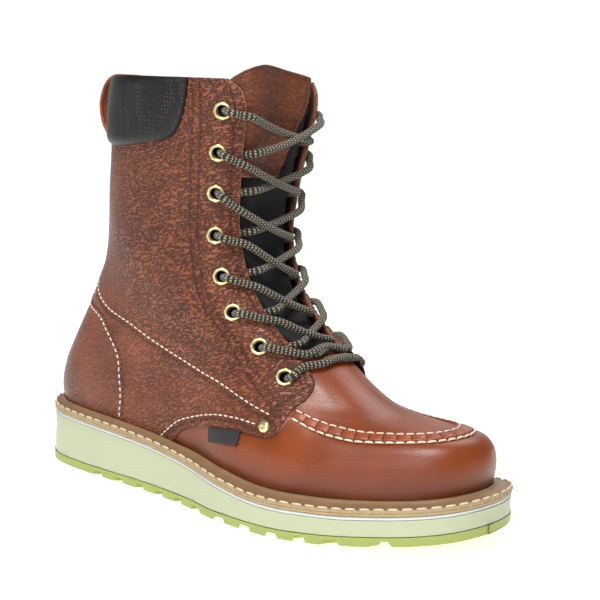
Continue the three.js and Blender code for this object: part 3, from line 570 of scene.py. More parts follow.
def stood(made, node):
    """Puts a piece in a node's place by hiding the node; the piece itself is not used."""
    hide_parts(node)


# Full-grain leather, drum-tumbled and oiled: pebbles 1.3 mm high pulled out to 2.8 mm along
# the folds, painted shade in the creases and grooves between them, painted highlight on the
# fold ridges, a low waxy shine. IOR of the finish, 1.5.

def gathers(tree, body, height):
    """The raised seam's band takes a painted highlight and is drawn in by a pleat every 7.4 mm,
    with painted shade in the pleat: run is the way along the seam in mm and over the distance
    across it."""
    turn = maths(tree, "FRACT", times(tree, marked(tree, "run_mm"), 1 / GATHER))
    turn = maths(tree, "ABSOLUTE", maths(tree, "SUBTRACT", turn, 0.5))
    band = ranged(tree, maths(tree, "ABSOLUTE", marked(tree, "over_mm")), 3.0, 4.2, 1.0, 0.0)
    pleat = times(tree, ranged(tree, turn, 0.43, 0.475, 0.0, 1.0), band)
    swell = times(tree, ranged(tree, turn, 0.1, 0.47, 0.6, 0.0), band)
    # Painted highlight on the raised band, painted shade in each pleat
    body = blended(tree, times(tree, band, 0.25), body, "b5603a")
    body = blended(tree, times(tree, pleat, 0.8), body, "3e190d")
    height = maths(tree, "ADD", height, swell)
    return body, maths(tree, "MULTIPLY_ADD", pleat, -0.5, height)


def leather(name, colour, dark, light, pebble, depth, shine, gathered=False):
    """pebble is the width of a pebble in mm, depth how deep the grain is, shine the roughness
    of the finish. The point attribute grain fades all of it towards smooth leather."""
    made, tree = material(name, colour, shine, Coat_Weight=0.08, Coat_Roughness=0.4,
                          Specular_IOR_Level=0.4, IOR=1.5)
    amount = times(tree, marked(tree, "grain"), depth)
    base = placed(tree, (0.45, 0.45, 1.0), (0.0, 0.3, 0.0))
    moved = add(tree, "ShaderNodeMix", {0: 0.003, 4: base, 5: noise(tree, 160, 3, None, "Color")},
                data_type="VECTOR").outputs[1]
    grain = ranged(tree, cells(tree, moved, 1000 / pebble), 0.0, 0.4, 0.0, 1.0)
    folds = noise(tree, 800 / pebble, 1, base, Roughness=0.5, Distortion=0.4)
    fold = ranged(tree, maths(tree, "ABSOLUTE", maths(tree, "SUBTRACT", folds, 0.49)),
                  0.0, 0.14, 0.0, 1.0)
    patch = ranged(tree, noise(tree, 30, 4), 0.32, 0.7, 0.0, 1.0)
    body = blended(tree, 0.7, blended(tree, patch, dark, light), colour)
    # Painted highlight: lighter towards the light tone on the raised ground between the creases
    body = blended(tree, times(tree, ranged(tree, fold, 0.5, 1.0, 0.0, 0.4), amount), body, light)
    # Painted shade: darker in the grain's grooves and along the crease lines
    groove_shade = times(tree, maths(tree, "SUBTRACT", 1.0, grain), 0.15)
    crease_shade = maths(tree, "ADD", ranged(tree, fold, 0.0, 0.8, 0.58, 0.0), groove_shade)
    crease_shade = times(tree, crease_shade, amount)
    body = blended(tree, crease_shade, body, dark)
    body = blended(tree, ranged(tree, marked(tree, "edge_mm"), 0.3, 0.8, 0.85, 0.0), body, CUT_EDGE)
    seam = marked(tree, "seam_mm")
    # Painted shade in the stitch grooves: darker within 1.3 mm of a seam line
    body = blended(tree, ranged(tree, seam, 0.3, 1.3, 0.4, 0.0), body, dark)
    # Painted shade and painted shadow from the mark dark, which each piece sets where shade falls
    body = blended(tree, marked(tree, "dark"), body, "2e130b")
    height = maths(tree, "MULTIPLY_ADD", fold, 0.9, times(tree, grain, 0.2))
    height = times(tree, height, amount)
    height = maths(tree, "MULTIPLY_ADD", noise(tree, 2200, 2), 0.04, height)
    if gathered:
        body, height = gathers(tree, body, height)
    height = maths(tree, "ADD", height, ranged(tree, seam, 0.2, 1.3, -0.45, 0.0))
    rough = ranged(tree, crease_shade, 0.0, 0.8, shine, min(shine + 0.25, 1))
    return dressed(made, body, height, 0.9, 0.001, rough)


GRAINED = leather("tumbled_leather", LEATHER_RED, LEATHER_DARK, LEATHER_LIGHT, 1.25, 1.0, 0.36)
SMOOTH = leather("oiled_smooth_leather", VAMP_RED, VAMP_DARK, "964a20", 1.0, 0.04, 0.38, True)
FACING_LEATHER = leather("tongue_leather", "673013", "3e1a0b", "7c401c", 1.8, 0.5, 0.55)
LOOP_LEATHER = leather("strap_leather", "86431c", "5c290e", "a85f30", 1.1, 0.3, 0.6)


def mottled(name, colours, roughness, scale, detail, bump=None, **shader):
    """A plain skin whose noise runs from the first colour to the second, with bump's strength
    and distance where it is raised. The third colour is the one in plain view."""
    made, tree = material(name, colours[2], roughness, **shader)
    cloud = noise(tree, scale, detail)
    body = blended(tree, cloud, *colours[:2])
    return dressed(made, body, cloud, *bump) if bump else dressed(made, body)


# Napped pigskin lining, dull dark brown
LINING = mottled("napped_lining", ("2a1e18", "54402f", "3a2a22"), 0.95, 900, 4, (0.4, 0.0006))


def rubber(name, colour, other, roughness, knurl=0.0, coat=0.0):
    """Moulded rubber: an even satin skin, faint flow marks and dust, with a knurl of 1.6 mm
    diamonds on the tread where knurl is over 0, painted shade in its hollows. The underside is
    yellower than the side."""
    made, tree = material(name, colour, roughness, Coat_Weight=coat, Coat_Roughness=0.3, IOR=1.52)
    body = blended(tree, times(tree, noise(tree, 45, 5), 0.2), colour, other)
    height = times(tree, noise(tree, 1500, 2), 0.05)
    if knurl:
        body = blended(tree, marked(tree, "under"), body, "c8bb62")
        pebbled = marked(tree, "knurled")
        turned = parted(tree, placed(tree, turn=(0, 0, math.radians(45))))
        weave = maths(tree, "MAXIMUM", sine(tree, turned[0], 0.0022), sine(tree, turned[1], 0.0022))
        weave = times(tree, weave, pebbled)
        ribs = sine(tree, parted(tree, placed(tree))[0], 0.0029)
        ribs = times(tree, ribs, marked(tree, "ribbed"))
        height = maths(tree, "MULTIPLY_ADD", weave, knurl, height)
        height = maths(tree, "MULTIPLY_ADD", ribs, 0.5, height)
        # Painted shade: the knurl's hollows darker towards 9a8a3a
        low = times(tree, times(tree, maths(tree, "SUBTRACT", 0.5, weave), 0.3), pebbled)
        body = blended(tree, low, body, "9a8a3a")
    return dressed(made, body, height, 0.6, 0.001)


# Crepe-like rubber of the sole, its tread, the thin grey layer over it and the badge
WEDGE_RUBBER = rubber("wedge_rubber", "a5aa8b", "adb194", 0.5, coat=0.1)
TREAD_RUBBER = rubber("tread_rubber", "8c984c", "838d46", 0.5, knurl=0.35)
STRIP_RUBBER = rubber("strip_rubber", "c3c4c3", "b3b4b4", 0.6)
BADGE_RUBBER = rubber("badge_rubber", "1a1412", "2c2320", 0.35, coat=0.3)


def welt_leather():
    """Vegetable-tanned welt: brown dressed top, paler raw cut side in two plies, and painted
    shade where the mark dark is set: in its grooves and where it meets the upper and the strip.
    """
    made, tree = material("welt_leather", "8f6b49", 0.5, Coat_Weight=0.1, Coat_Roughness=0.4,
                          IOR=1.5)
    cloud = noise(tree, 120, 4)
    body = blended(tree, marked(tree, "cut"), blended(tree, cloud, "694f35", "8c6e4e"),
                   blended(tree, cloud, "8f7a54", "a8926c"))
    # Painted shade from the mark dark
    body = blended(tree, marked(tree, "dark"), body, "2e1c12")
    return dressed(made, body, noise(tree, 1400, 3), 0.3, 0.0006)


WELT_LEATHER = welt_leather()


def tab_ribbon():
    """Satin-woven ribbon: black ground with a dark brown border 1.3 mm wide, threads that
    run across it 0.9 mm apart."""
    made, tree = material("tab_ribbon", "0f0d0c", 0.6, Sheen_Weight=0.03)
    border = ranged(tree, marked(tree, "rim_mm"), 1.1, 1.5, 1.0, 0.0)
    weft = sine(tree, parted(tree, placed(tree))[0], 0.0009)
    body = blended(tree, border, "080706", "2a1a10")
    body = blended(tree, ranged(tree, weft, -1.0, 1.0, 0.0, 0.25), body, "221e1a")
    return dressed(made, body, weft, 0.5, 0.0003)


TAB_RIBBON = tab_ribbon()


def waxed_thread(name, colour, shadow):
    """Waxed bonded thread: a mottle of 0.5 mm stands for its fine twist."""
    return mottled(name, (shadow, colour, colour), 0.55, 1800, 2, IOR=1.5)


WHITE_THREAD = waxed_thread("pale_waxed_thread", "efdccb", "c9ab93")
DARK_THREAD = waxed_thread("brown_waxed_thread", "4c2c20", "2e1710")
WELT_THREAD = waxed_thread("welt_thread", "dccbb2", "bda98a")
TIE_THREAD = waxed_thread("welt_tie_thread", "b7a37c", "98845f")


def brass():
    """Lacquered brass: pressed, bright on its rim, finely brushed."""
    made, tree = material("lacquered_brass", "d8c68a", 0.3, Metallic=0.8)
    wear = noise(tree, 260, 2)
    return dressed(made, blended(tree, wear, "bfae6e", "ecdfae"),
                   rough=ranged(tree, wear, 0.2, 0.8, 0.24, 0.38))


BRASS = brass()


def braid():
    """Round braid of black and beige polyester: every 2.2 mm a ring of nine beige cells,
    each ring half a cell on, with black between. v runs along the cord and u around it."""
    made, tree = material("braided_polyester", "8d8468", 0.8, Sheen_Weight=0.15)
    split = parted(tree, add(tree, "ShaderNodeUVMap", uv_map="place").outputs[0])
    rows = times(tree, split[1], 1 / 2.2)
    offset = times(tree, maths(tree, "FLOOR", rows), math.pi)
    round_it = maths(tree, "SINE", maths(tree, "MULTIPLY_ADD", split[0], 2 * math.pi * 9, offset))
    down_it = sine(tree, rows, 1)
    share = times(tree, ranged(tree, down_it, -0.15, 0.4, 0.0, 1.0),
                  ranged(tree, round_it, -0.55, 0.15, 0.0, 1.0))
    bulge = maths(tree, "MULTIPLY_ADD", share, 0.5, maths(tree, "ABSOLUTE", down_it))
    return dressed(made, blended(tree, share, "100e0b", "a59a7c"), bulge, 0.9, 0.0005)


BRAID = braid()


def textile():
    """Woven polyamide of the tongue: plain weave, with threads 1.2 mm apart so that they
    show."""
    made, tree = material("tongue_textile", "0b0a0b", 0.9, Sheen_Weight=0.03)
    split = parted(tree, placed(tree))
    weave = times(tree, sine(tree, split[1], 0.0012), sine(tree, split[2], 0.0012))
    body = blended(tree, ranged(tree, weave, -0.6, 0.8, 0.0, 1.0), "060506", "151415")
    return dressed(made, body, weave, 0.6, 0.0004)


TEXTILE = textile()


def pad_leather():
    """Soft coated collar leather: near black, fine pores of 0.8 mm, pinholes 2.1 mm apart
    with a painted highlight dot for the light on each pressed rim, and a broad grey sheen."""
    made, tree = material("collar_leather", "151313", 0.4, Coat_Weight=0.08, Coat_Roughness=0.3,
                          Specular_IOR_Level=0.35, IOR=1.5)
    grain = ranged(tree, cells(tree, placed(tree), 1250), 0.0, 0.2, 0.0, 1.0)
    holes = cells(tree, placed(tree), 470, "F1", Randomness=0.25)
    speck = ranged(tree, holes, 0.1, 0.24, 1.0, 0.0)
    body = blended(tree, grain, "070505", "130f0d")
    # Painted highlight: a pale grey dot at each pinhole
    body = blended(tree, times(tree, speck, 0.6), body, "6b655f")
    body = blended(tree, marked(tree, "dark"), body, "060505")
    return dressed(made, body, maths(tree, "MULTIPLY_ADD", speck, 0.6, grain), 0.4, 0.0004)


PAD_LEATHER = pad_leather()


# Azimuth, elevation and roll in degrees, place in millimetres, focal length
CAMERA_TURN = (37.61, 9.07, 2.19)
CAMERA_PLACE = (471.07, -577.14, 233.39)
LENS = 79.56


def camera():
    """The photograph's view, through a long lens."""
    azimuth, elevation, roll = np.radians(CAMERA_TURN)
    back = np.array([math.sin(azimuth) * math.cos(elevation),
                     -math.cos(azimuth) * math.cos(elevation), math.sin(elevation)])
    right = np.array([math.cos(azimuth), math.sin(azimuth), 0])
    up = np.cross(back, right)
    turned = math.cos(roll) * right + math.sin(roll) * up
    upright = -math.sin(roll) * right + math.cos(roll) * up
    data = bpy.data.cameras.new("view")
    data.sensor_width = 36
    data.lens = LENS
    made = linked("view", data)
    rows = [[turned[k], upright[k], back[k], place / 1000]
            for k, place in enumerate(CAMERA_PLACE)]
    made.matrix_world = Matrix(rows + [[0, 0, 0, 1]])
    bpy.context.scene.camera = made


camera()


# Lace

def tube(path, normals, radius, sides=16):
    """A round cord along a path. The ring's first axis is the normal made square to the path,
    its second is square to both, and the radius falls to 0 over the last half radius."""
    tangent = unit(np.gradient(path, axis=0))
    first = unit(normals - (normals * tangent).sum(axis=1, keepdims=True) * tangent)
    second = np.cross(tangent, first)
    length = lengths(path)
    end = np.minimum(length, length[-1] - length) / (0.5 * radius)
    size = radius * quarter_round(end)
    angle = np.linspace(0, 2 * math.pi, sides + 1)
    rings = path[:, None] + ring_of(first, second, angle) * size[:, None, None]
    u = np.broadcast_to(angle / (2 * math.pi), rings.shape[:2])
    v = np.broadcast_to(length[:, None], rings.shape[:2])
    quads = grid_quads(np.arange(u.size).reshape(u.shape))
    return rings.reshape(-1, 3), quads, np.stack([u, v], axis=-1).reshape(-1, 2)


def curve(points, count):
    """Catmull-Rom through points in space, count steps from end to end, evenly spaced."""
    points = np.asarray(points, float)
    fine = np.linspace(0, len(points) - 1, 40 * len(points))
    path = np.stack([between(points[:, k], fine) for k in range(points.shape[1])], axis=1)
    length = lengths(path[:, :3])
    return sampled(np.linspace(0, length[-1], count), length, path)


def cord(name, routes, count, node):
    """One piece of lace along each of the routes, which are pairs of a place and a normal."""
    parts = []
    offset = 0
    for places in routes:
        path = curve([np.concatenate(pair) for pair in places], count)
        points, quads, uv = tube(path[:, :3], unit(path[:, 3:]), LACE / 2)
        parts.append((points, quads + offset, uv))
        offset += len(points)
    points, quads, uv = (np.concatenate(each) for each in zip(*parts))
    stood(piece(name, points, quads, BRAID, uv=uv, weld=True), node)


VAMP_SEAT = 0.3
BAR_LEVEL = 9.05
BAR_END_LEVEL = 8.6
LACE_RISE = 0.35
ON_LEATHER = OVERLAY + LACE / 2 + 0.25
BOTTOM_ROW = len(EYELETS) - 1


def eyelet_distance(row):
    """How far an eyelet's middle is from the middle of the throat."""
    level, margin = EYELETS[row, :2]
    return throat_gap(level) + margin * EYELET_MARGIN


def eyelet_place(row, side):
    level = EYELETS[row, 0]
    return float(level), float(turn_at(level, side, eyelet_distance(row)))


def on_flap(level, side, distance, height):
    turn = turn_at(level, side, max(distance, 0.05))
    return proud(level, turn, height), outward(level, turn)


def out_of_eyelet(row, side, drop):
    """From inside the boot through the eyelet, over its rim and down onto the leather."""
    level = EYELETS[row, 0]
    out = eyelet_distance(row)
    return [on_flap(level, side, out - 0.3, -4.5), on_flap(level, side, out - 0.7, 0.2),
            on_flap(level - drop, side, out - 2.6, ON_LEATHER + 1.0)]


def strand(row, side):
    """One strand: out of the eyelet, over the flap's edge, across and under the other flap."""
    level, _, outer_drop, inner_drop, outer_far, inner_far = EYELETS[row]
    drop, far = (outer_drop, outer_far) if side < 0 else (inner_drop, inner_far)
    gap = throat_gap(level)
    near = level - drop
    places = out_of_eyelet(row, side, 0.15 * drop)
    places += [on_flap(level - 0.5 * drop, side, (eyelet_distance(row) + gap) / 2 - 1.5,
                       ON_LEATHER + 0.5),
               on_flap(near, side, throat_gap(near) - LACE / 2, ON_LEATHER)]
    if far > THROAT_FOOT:
        start = places[-1][0]
        end, normal = on_flap(far, -side, throat_gap(far) - 1.4 * LACE, 0.3)
        lift = 2.0 if (side < 0) == (row > 0) else -0.6
        for share in (0.35, 0.65):
            point = mix(start, end, share) + np.array([lift, 0, -1.2])
            places.append((point, unit(places[-1][1] + normal)))
        places.append((end, normal))
        places.append(on_flap(far - 0.12, -side, throat_gap(far) + 2.5, -WALL - LACE / 2 - 0.5))
        return places
    for share in (0.25, 0.5, 0.75, 1.0):
        across = mix(throat_gap(near) - LACE / 2, -(throat_gap(far) - 1.4 * LACE), share)
        at = mix(level, far, share) + LACE_RISE * math.sin(math.pi * share)
        lift = (2.0 if side < 0 else -0.3) * (1 - share)
        places.append(on_flap(at, side * math.copysign(1, across), abs(across),
                              LACE / 2 + VAMP_SEAT + lift))
    return places


def bar():
    """The straight run over the foot of the throat, from eyelet to eyelet."""
    beside = eyelet_distance(BOTTOM_ROW) - 4.9 - LACE / 2
    places = []
    for side, order in ((-1, 1), (1, -1)):
        ends = out_of_eyelet(BOTTOM_ROW, side, -0.12)
        ends += [on_flap(mix(BAR_LEVEL, BAR_END_LEVEL, s ** 1.5), side, s * beside,
                         ON_LEATHER - 0.5) for s in (1.0, 0.6, 0.25)]
        places += ends[::order]
    return places


for number in range(BOTTOM_ROW):
    cord(f"lace_{number + 1}", [strand(number, -1), strand(number, 1)], 90,
         f"lace_cross_{number + 1}")
cord("lace_across_bottom", [bar()], 110, "lace_bar")


# Seams

def seam_lines():
    """The stitched lines of both sides: white rows, and the dark rows beside them."""
    white, dark = [], []
    for side in (-1, 1):
        for rows, gap in ((LONG_SEAM, 2.7), (COUNTER_SEAM, -2.5), (ARCH_SEAM, 2.4)):
            white.append(line_on(rows, side))
            dark.append(line_on(rows, side, shift=-gap * side))
        dark += [line_on(EYESTAY_SEAM, side, shift=shift) for shift in (2.3, -2.3)]
        level = np.linspace(15.6, 4.6, 40)
        inset = quarter_edge(level, side) - 0.075 - 0.03 * ease(level, 9, 12)
        dark.append(line_on(np.c_[level, -inset], side))
    return white, dark


WHITE_ROWS, DARK_ROWS = seam_lines()
EDGE_LEVELS = np.linspace(0.02, 15.98, 260)
EDGE_LINES = [line_on(np.c_[EDGE_LEVELS, -quarter_edge(EDGE_LEVELS, side)], side)
              for side in (-1, 1)]


def stitches(name, rows, skin, length, pitch, thick):
    """Stitches as small spindles: five rings of six points, thin at both ends and full in the
    middle, along the line's own curve, whose ends dip into the leather."""
    spans = np.array([-0.5, -0.38, 0.0, 0.38, 0.5]) * length
    sizes = np.array([0.05, 0.85, 1.0, 0.85, 0.05]) * thick / 2
    dips = np.array([-0.55, 0.05, 0.16, 0.05, -0.55]) * thick
    angle = np.linspace(0, 2 * math.pi, 7)[:-1]
    _, one = loops(np.zeros((5, 6, 3)), False)
    one = np.concatenate([one, [[0, 5, 4, 1], [1, 4, 3, 2], [24, 25, 28, 29], [25, 26, 27, 28]]])
    points, quads, offset = [], [], 0
    for row in rows:
        middles = np.arange(pitch / 2, row.length[-1] - pitch / 2, pitch)
        at = middles[:, None] + spans[None]
        place = sampled(at, row.length, row.points)
        normal = unit(sampled(at, row.length, row.normals))
        across = unit(np.cross(unit(place[:, -1:] - place[:, :1]), normal))
        centre = place + normal * dips[None, :, None]
        rings = centre[:, :, None] + ring_of(across, normal, angle) * sizes[None, :, None, None]
        points.append(rings.reshape(-1, 3))
        starts = offset + 30 * np.arange(len(middles))
        quads.append((one[None] + starts[:, None, None]).reshape(-1, 4))
        offset += 30 * len(middles)
    piece(name, np.concatenate(points), np.concatenate(quads), skin)


def crease(points, spots):
    """Soft troughs and ridges at listed spots: each spot adds height times a bell over the
    distance to a short line from a to b."""
    total = np.zeros(points.shape[:-1])
    for a, b, width, height in spots:
        a, b = np.array(a, float), np.array(b, float)
        t = np.clip(((points - a) @ (b - a)) / ((b - a) @ (b - a)), 0, 1)
        gap = np.linalg.norm(points - (a + t[..., None] * (b - a)), axis=-1)
        total += height * np.exp(-(gap / width) ** 2)
    return total


# Creases: two ends, width and height
SHAFT_FOLDS = [
    ((-60, -48, 150), (-30, -44, 118), 9, -0.9), ((-66, -48, 138), (-34, -44, 106), 7, 0.6),
    ((-95, -38, 112), (-60, -48, 100), 9, -0.7), ((-30, -42, 165), (-20, -40, 110), 8, -0.6),
    ((-16, -38, 120), (18, -36, 84), 7, -0.7), ((-26, -42, 118), (8, -40, 80), 6, 0.5),
    ((-50, -46, 190), (-46, -46, 160), 12, -0.5), ((-60, 48, 150), (-30, 44, 118), 9, -0.9),
    ((-95, 38, 112), (-60, 48, 100), 9, -0.7), ((-16, 38, 120), (18, 36, 84), 7, -0.7),
    ((-108, -14, 128), (-108, 14, 124), 8, -0.6), ((-112, -14, 112), (-112, 14, 110), 6, 0.4),
]
VAMP_FOLDS = [((56, -16, 84), (74, -20, 70), 5, -0.5), ((64, 12, 82), (82, 20, 68), 6, -0.5),
              ((40, -34, 62), (60, -38, 56), 5, 0.3)]
EYELET_HOLE = 3.95
FAR = 30.0


def on_welt(*grids):
    """Sets the first row of each grid down on the welt."""
    for grid in grids:
        grid[0, :, 2] = welt_top(grid[0, :, 0]) + 0.1


def quarter():
    """The shaft, quarters and heel in one wrap of leather over the last. Row by row it runs
    from one free edge round the heel to the other, and each edge is rounded over 0.6 mm."""
    rows = even_rows(0.02, COLLAR_LEVEL, 178)
    rows = np.unique(np.concatenate([rows, np.linspace(3.5, 4.1, 16)]))
    half = np.concatenate([np.linspace(0, 0.972, 112),
                           [0.98, 0.987, 0.9925, 0.9965, 0.999, 1.0]])
    share = np.concatenate([-half[::-1], half[1:]])[None]
    level = np.broadcast_to(rows[:, None], (len(rows), share.size))
    limit = np.where(share < 0, quarter_edge(rows, -1)[:, None], quarter_edge(rows, 1)[:, None])
    turn = share * limit
    flat = last(level, turn)
    normal = outward(level, turn)
    base = flat + normal * OVERLAY
    edge = distance_to(EDGE_LINES, base)
    seam = distance_to(WHITE_ROWS + DARK_ROWS, base)
    lift = crease(flat, SHAFT_FOLDS) * ease(edge, 2, 12)
    gape = np.where(level < 9.2, ease(np.abs(turn), 2.3, 2.6), 0) * ease(level, 7.2, 8.4)
    lift += np.where(turn > 0, 2.2, 0.5) * gape
    height = OVERLAY + lift - 0.55 * np.exp(-(edge / 0.55) ** 2)
    front = (level < 9.2) & (np.abs(turn) > 1.3)
    tuck = np.where(front, ease(np.abs(turn), limit - 0.24, limit - 0.16), 0)
    under = mix(-WALL, 0.12 + np.maximum(lift, 0), tuck)
    outer = flat + normal * height[..., None]
    inner = flat + normal * under[..., None]
    on_welt(outer, inner)
    points, quads, count = shell(outer, inner)
    seats = [eyelet_place(row, side) for row in range(len(EYELETS)) for side in (-1, 1)]
    quads, slots = punched(points, quads, level.shape, count,
                           [proud(*seat, OVERLAY) for seat in seats],
                           [outward(*seat) for seat in seats], EYELET_HOLE)
    # Painted shade: darker at the foot of the upper against the welt and along the top under the
    # pad
    dark = np.maximum(0.75 * (1 - ease(level, 0.0, 0.32)), ease(level, 15.86, 16) * 0.5)
    grain = mix(0.35, 1.0, ease(np.abs(turn) + 0.07 * np.sin(level * 2), 0.75, 1.5))
    marks = {"edge_mm": on_both(edge + 0.45 * (1 - ease(level, 8, 11)), 2),
             "grain": on_both(grain * mix(0.8, 1.0, ease(level, 5, 8))),
             "seam_mm": on_both(seam, FAR), "dark": on_both(dark)}
    made = piece("quarter_and_shaft", points, quads, GRAINED, slots, marks)
    stood(made, "upper")


def seam_level(x):
    return through(TOE_SEAM, along(x))


def toe_line(offset, lift):
    """A line that follows the raised seam from side to side, offset millimetres above it."""
    turn = np.concatenate([np.linspace(-1.9, -math.pi, 150), np.linspace(math.pi, 1.9, 150)[1:]])
    level = np.full(turn.shape, 5.0)
    for _ in range(25):
        tall = np.linalg.norm(last(level + 0.5, turn) - last(level - 0.5, turn), axis=1)
        level = mix(level, seam_level(last(level, turn)[:, 0]) + offset / tall, 0.7)
    clear = np.abs(turn) > through(QUARTER_EDGE, level) + 0.015
    level, turn = level[clear], turn[clear]
    return Line(proud(level, turn, lift), outward(level, turn))


# The raised seam: its height, and how far its two rows of stitches are above its middle
SEAM_RISE = 1.3
SEAM_HIGH = 3.4
SEAM_LOW = -4.5


def vamp():
    """Toe and instep: a grid over the front of the last, up to the throat's edge. The raised
    seam is a flat-topped ridge, 1.3 mm high, gathered every 7.4 mm."""
    rows = even_rows(0.02, THROAT_FOOT, 140, 2.6)
    half = np.linspace(0, 1, 170)
    start = (through(QUARTER_EDGE, rows) - 0.2)[:, None]
    turn = start + (math.pi - start) * half[None]
    turn = np.concatenate([-turn, turn[:, -2::-1]], axis=1)
    level = np.broadcast_to(rows[:, None], turn.shape)
    flat = last(level, turn)
    normal = outward(level, turn)
    tall = np.linalg.norm(last(level + 0.5, turn) - last(np.maximum(level - 0.5, 0), turn), axis=-1)
    over = (level - seam_level(flat[..., 0])) * tall
    reach_in = ease(np.abs(turn) - through(QUARTER_EDGE, level), -0.03, 0.03)
    ridge = ease(over, -4.6, -2.6) * (1 - ease(over, 3.8, 4.9)) * reach_in
    middle = toe_line(0.0, 0.0)
    near = ((flat[..., None, :] - middle.points) ** 2).sum(axis=-1).argmin(axis=-1)
    ahead = unit(np.gradient(middle.points, axis=0))[near]
    run = middle.length[near] + ((flat - middle.points[near]) * ahead).sum(axis=-1)
    height = SEAM_RISE * ridge - 0.3 * np.exp(-((over + 4.7) / 0.8) ** 2) * reach_in
    height += crease(flat, VAMP_FOLDS)
    outer = flat + normal * height[..., None]
    inner = flat + normal * (-WALL)
    on_welt(outer, inner)
    points, quads, count = shell(outer, inner)
    slots = np.zeros(len(quads))
    slots[count:2 * count] = 1
    apart = FAR * (1 - reach_in)
    seam = np.minimum(np.abs(over - SEAM_HIGH), np.abs(over - SEAM_LOW)) + apart
    # Painted shadow under the quarter's edge; painted shade at the foot against the welt and over
    # the lower toe
    shadow = distance_to(EDGE_LINES, flat)
    dark = np.maximum(0.5 * (1 - ease(shadow, 0.5, 3.0)), 0.8 * (1 - ease(level, 0.0, 0.35)))
    dark = np.maximum(dark, 0.42 * (1 - ease(level, 0.2, 2.8)))
    marks = {"edge_mm": on_both(np.where(np.abs(level - THROAT_FOOT) < 0.02, 0.3, 20)),
             "grain": on_both(np.ones(level.size), 1),
             "run_mm": np.concatenate([run.ravel(), run.ravel()]),
             "over_mm": on_both(over + apart, FAR), "seam_mm": on_both(seam, FAR),
             "dark": on_both(dark)}
    made = piece("vamp", points, quads, SMOOTH, slots, marks)
    stood(made, "upper")


quarter()
vamp()
stitches("pale_stitches", WHITE_ROWS, WHITE_THREAD, 2.9, 3.9, 0.95)
stitches("brown_stitches", DARK_ROWS, DARK_THREAD, 1.7, 2.9, 0.75)
stitches("toe_stitches", [toe_line(SEAM_LOW, 0.3)], WHITE_THREAD, 5.1, 5.5, 1.35)
stitches("ridge_stitches", [toe_line(SEAM_HIGH, SEAM_RISE)], WHITE_THREAD, 4.7, 5.2, 1.0)


# Sole

def edge_point(turn, inset):
    """The sole's edge in plan, moved in along its own normal."""
    def at(angle):
        share = (1 - np.cos(angle)) / 2
        side = np.where(np.sin(angle) < 0, -1.0, 1.0)
        return np.stack([(share - 0.5) * SOLE_LENGTH, side * reach(side, share)], axis=-1)

    tangent = unit(at(turn + 0.01) - at(turn - 0.01))
    inset = np.broadcast_to(inset, turn.shape)[..., None]
    return at(turn) + np.stack([tangent[..., 1], -tangent[..., 0]], axis=-1) * inset


def layer(name, bottom, top, sides, skin, node, slot):
    """A plate under the foot: rings at shares of its height, each inset from the edge, and
    two caps that draw in to the line down the middle."""
    turn = np.linspace(0, 2 * math.pi, (420) + 1)[:-1]
    rings = []
    pulls = [1.0, 0.5] + [0.0] * len(sides) + [0.5, 1.0]
    for pull, (share, inset) in zip(pulls, sides[:1] * 2 + sides + sides[-1:] * 2):
        plan = edge_point(turn, inset)
        mirror = edge_point(2 * math.pi - turn, inset)
        plan = mix(plan, (plan + mirror) / 2, pull)
        rings.append(np.c_[plan, mix(bottom(plan[:, 0]), top(plan[:, 0]), share)])
    points, quads = loops(np.array(rings), False)
    stood(piece(name, points, quads, skin, sharp=40, weld=True), node)


layer("wedge_body", lambda x: ground(x) + OUTSOLE + 0.1, lambda x: wedge_top(x) - 0.1,
      [(0.0, 0.7), (0.04, 0.25), (0.3, 0.5), (0.7, 0.75), (0.96, 0.4), (1.0, 0.8)],
      WEDGE_RUBBER, "wedge", "wedge_foam")
layer("grey_layer", lambda x: wedge_top(x) + 0.1, lambda x: strip_top(x) - 0.1,
      [(0.0, 0.9), (0.2, 0.55), (0.8, 0.55), (1.0, 0.9)], STRIP_RUBBER, "midsole_strip",
      "strip_rubber")

LUG_DEPTH = 3.0
LUG_PITCH = 18.3
LUG_SLOPE = 8.5
LUG_WAVE = 25.0
LUG_SWING = 9.0
TOE_BLOCK = 34.0
HEEL_BLOCK = 41.0
TREAD_ROUND = 0.8


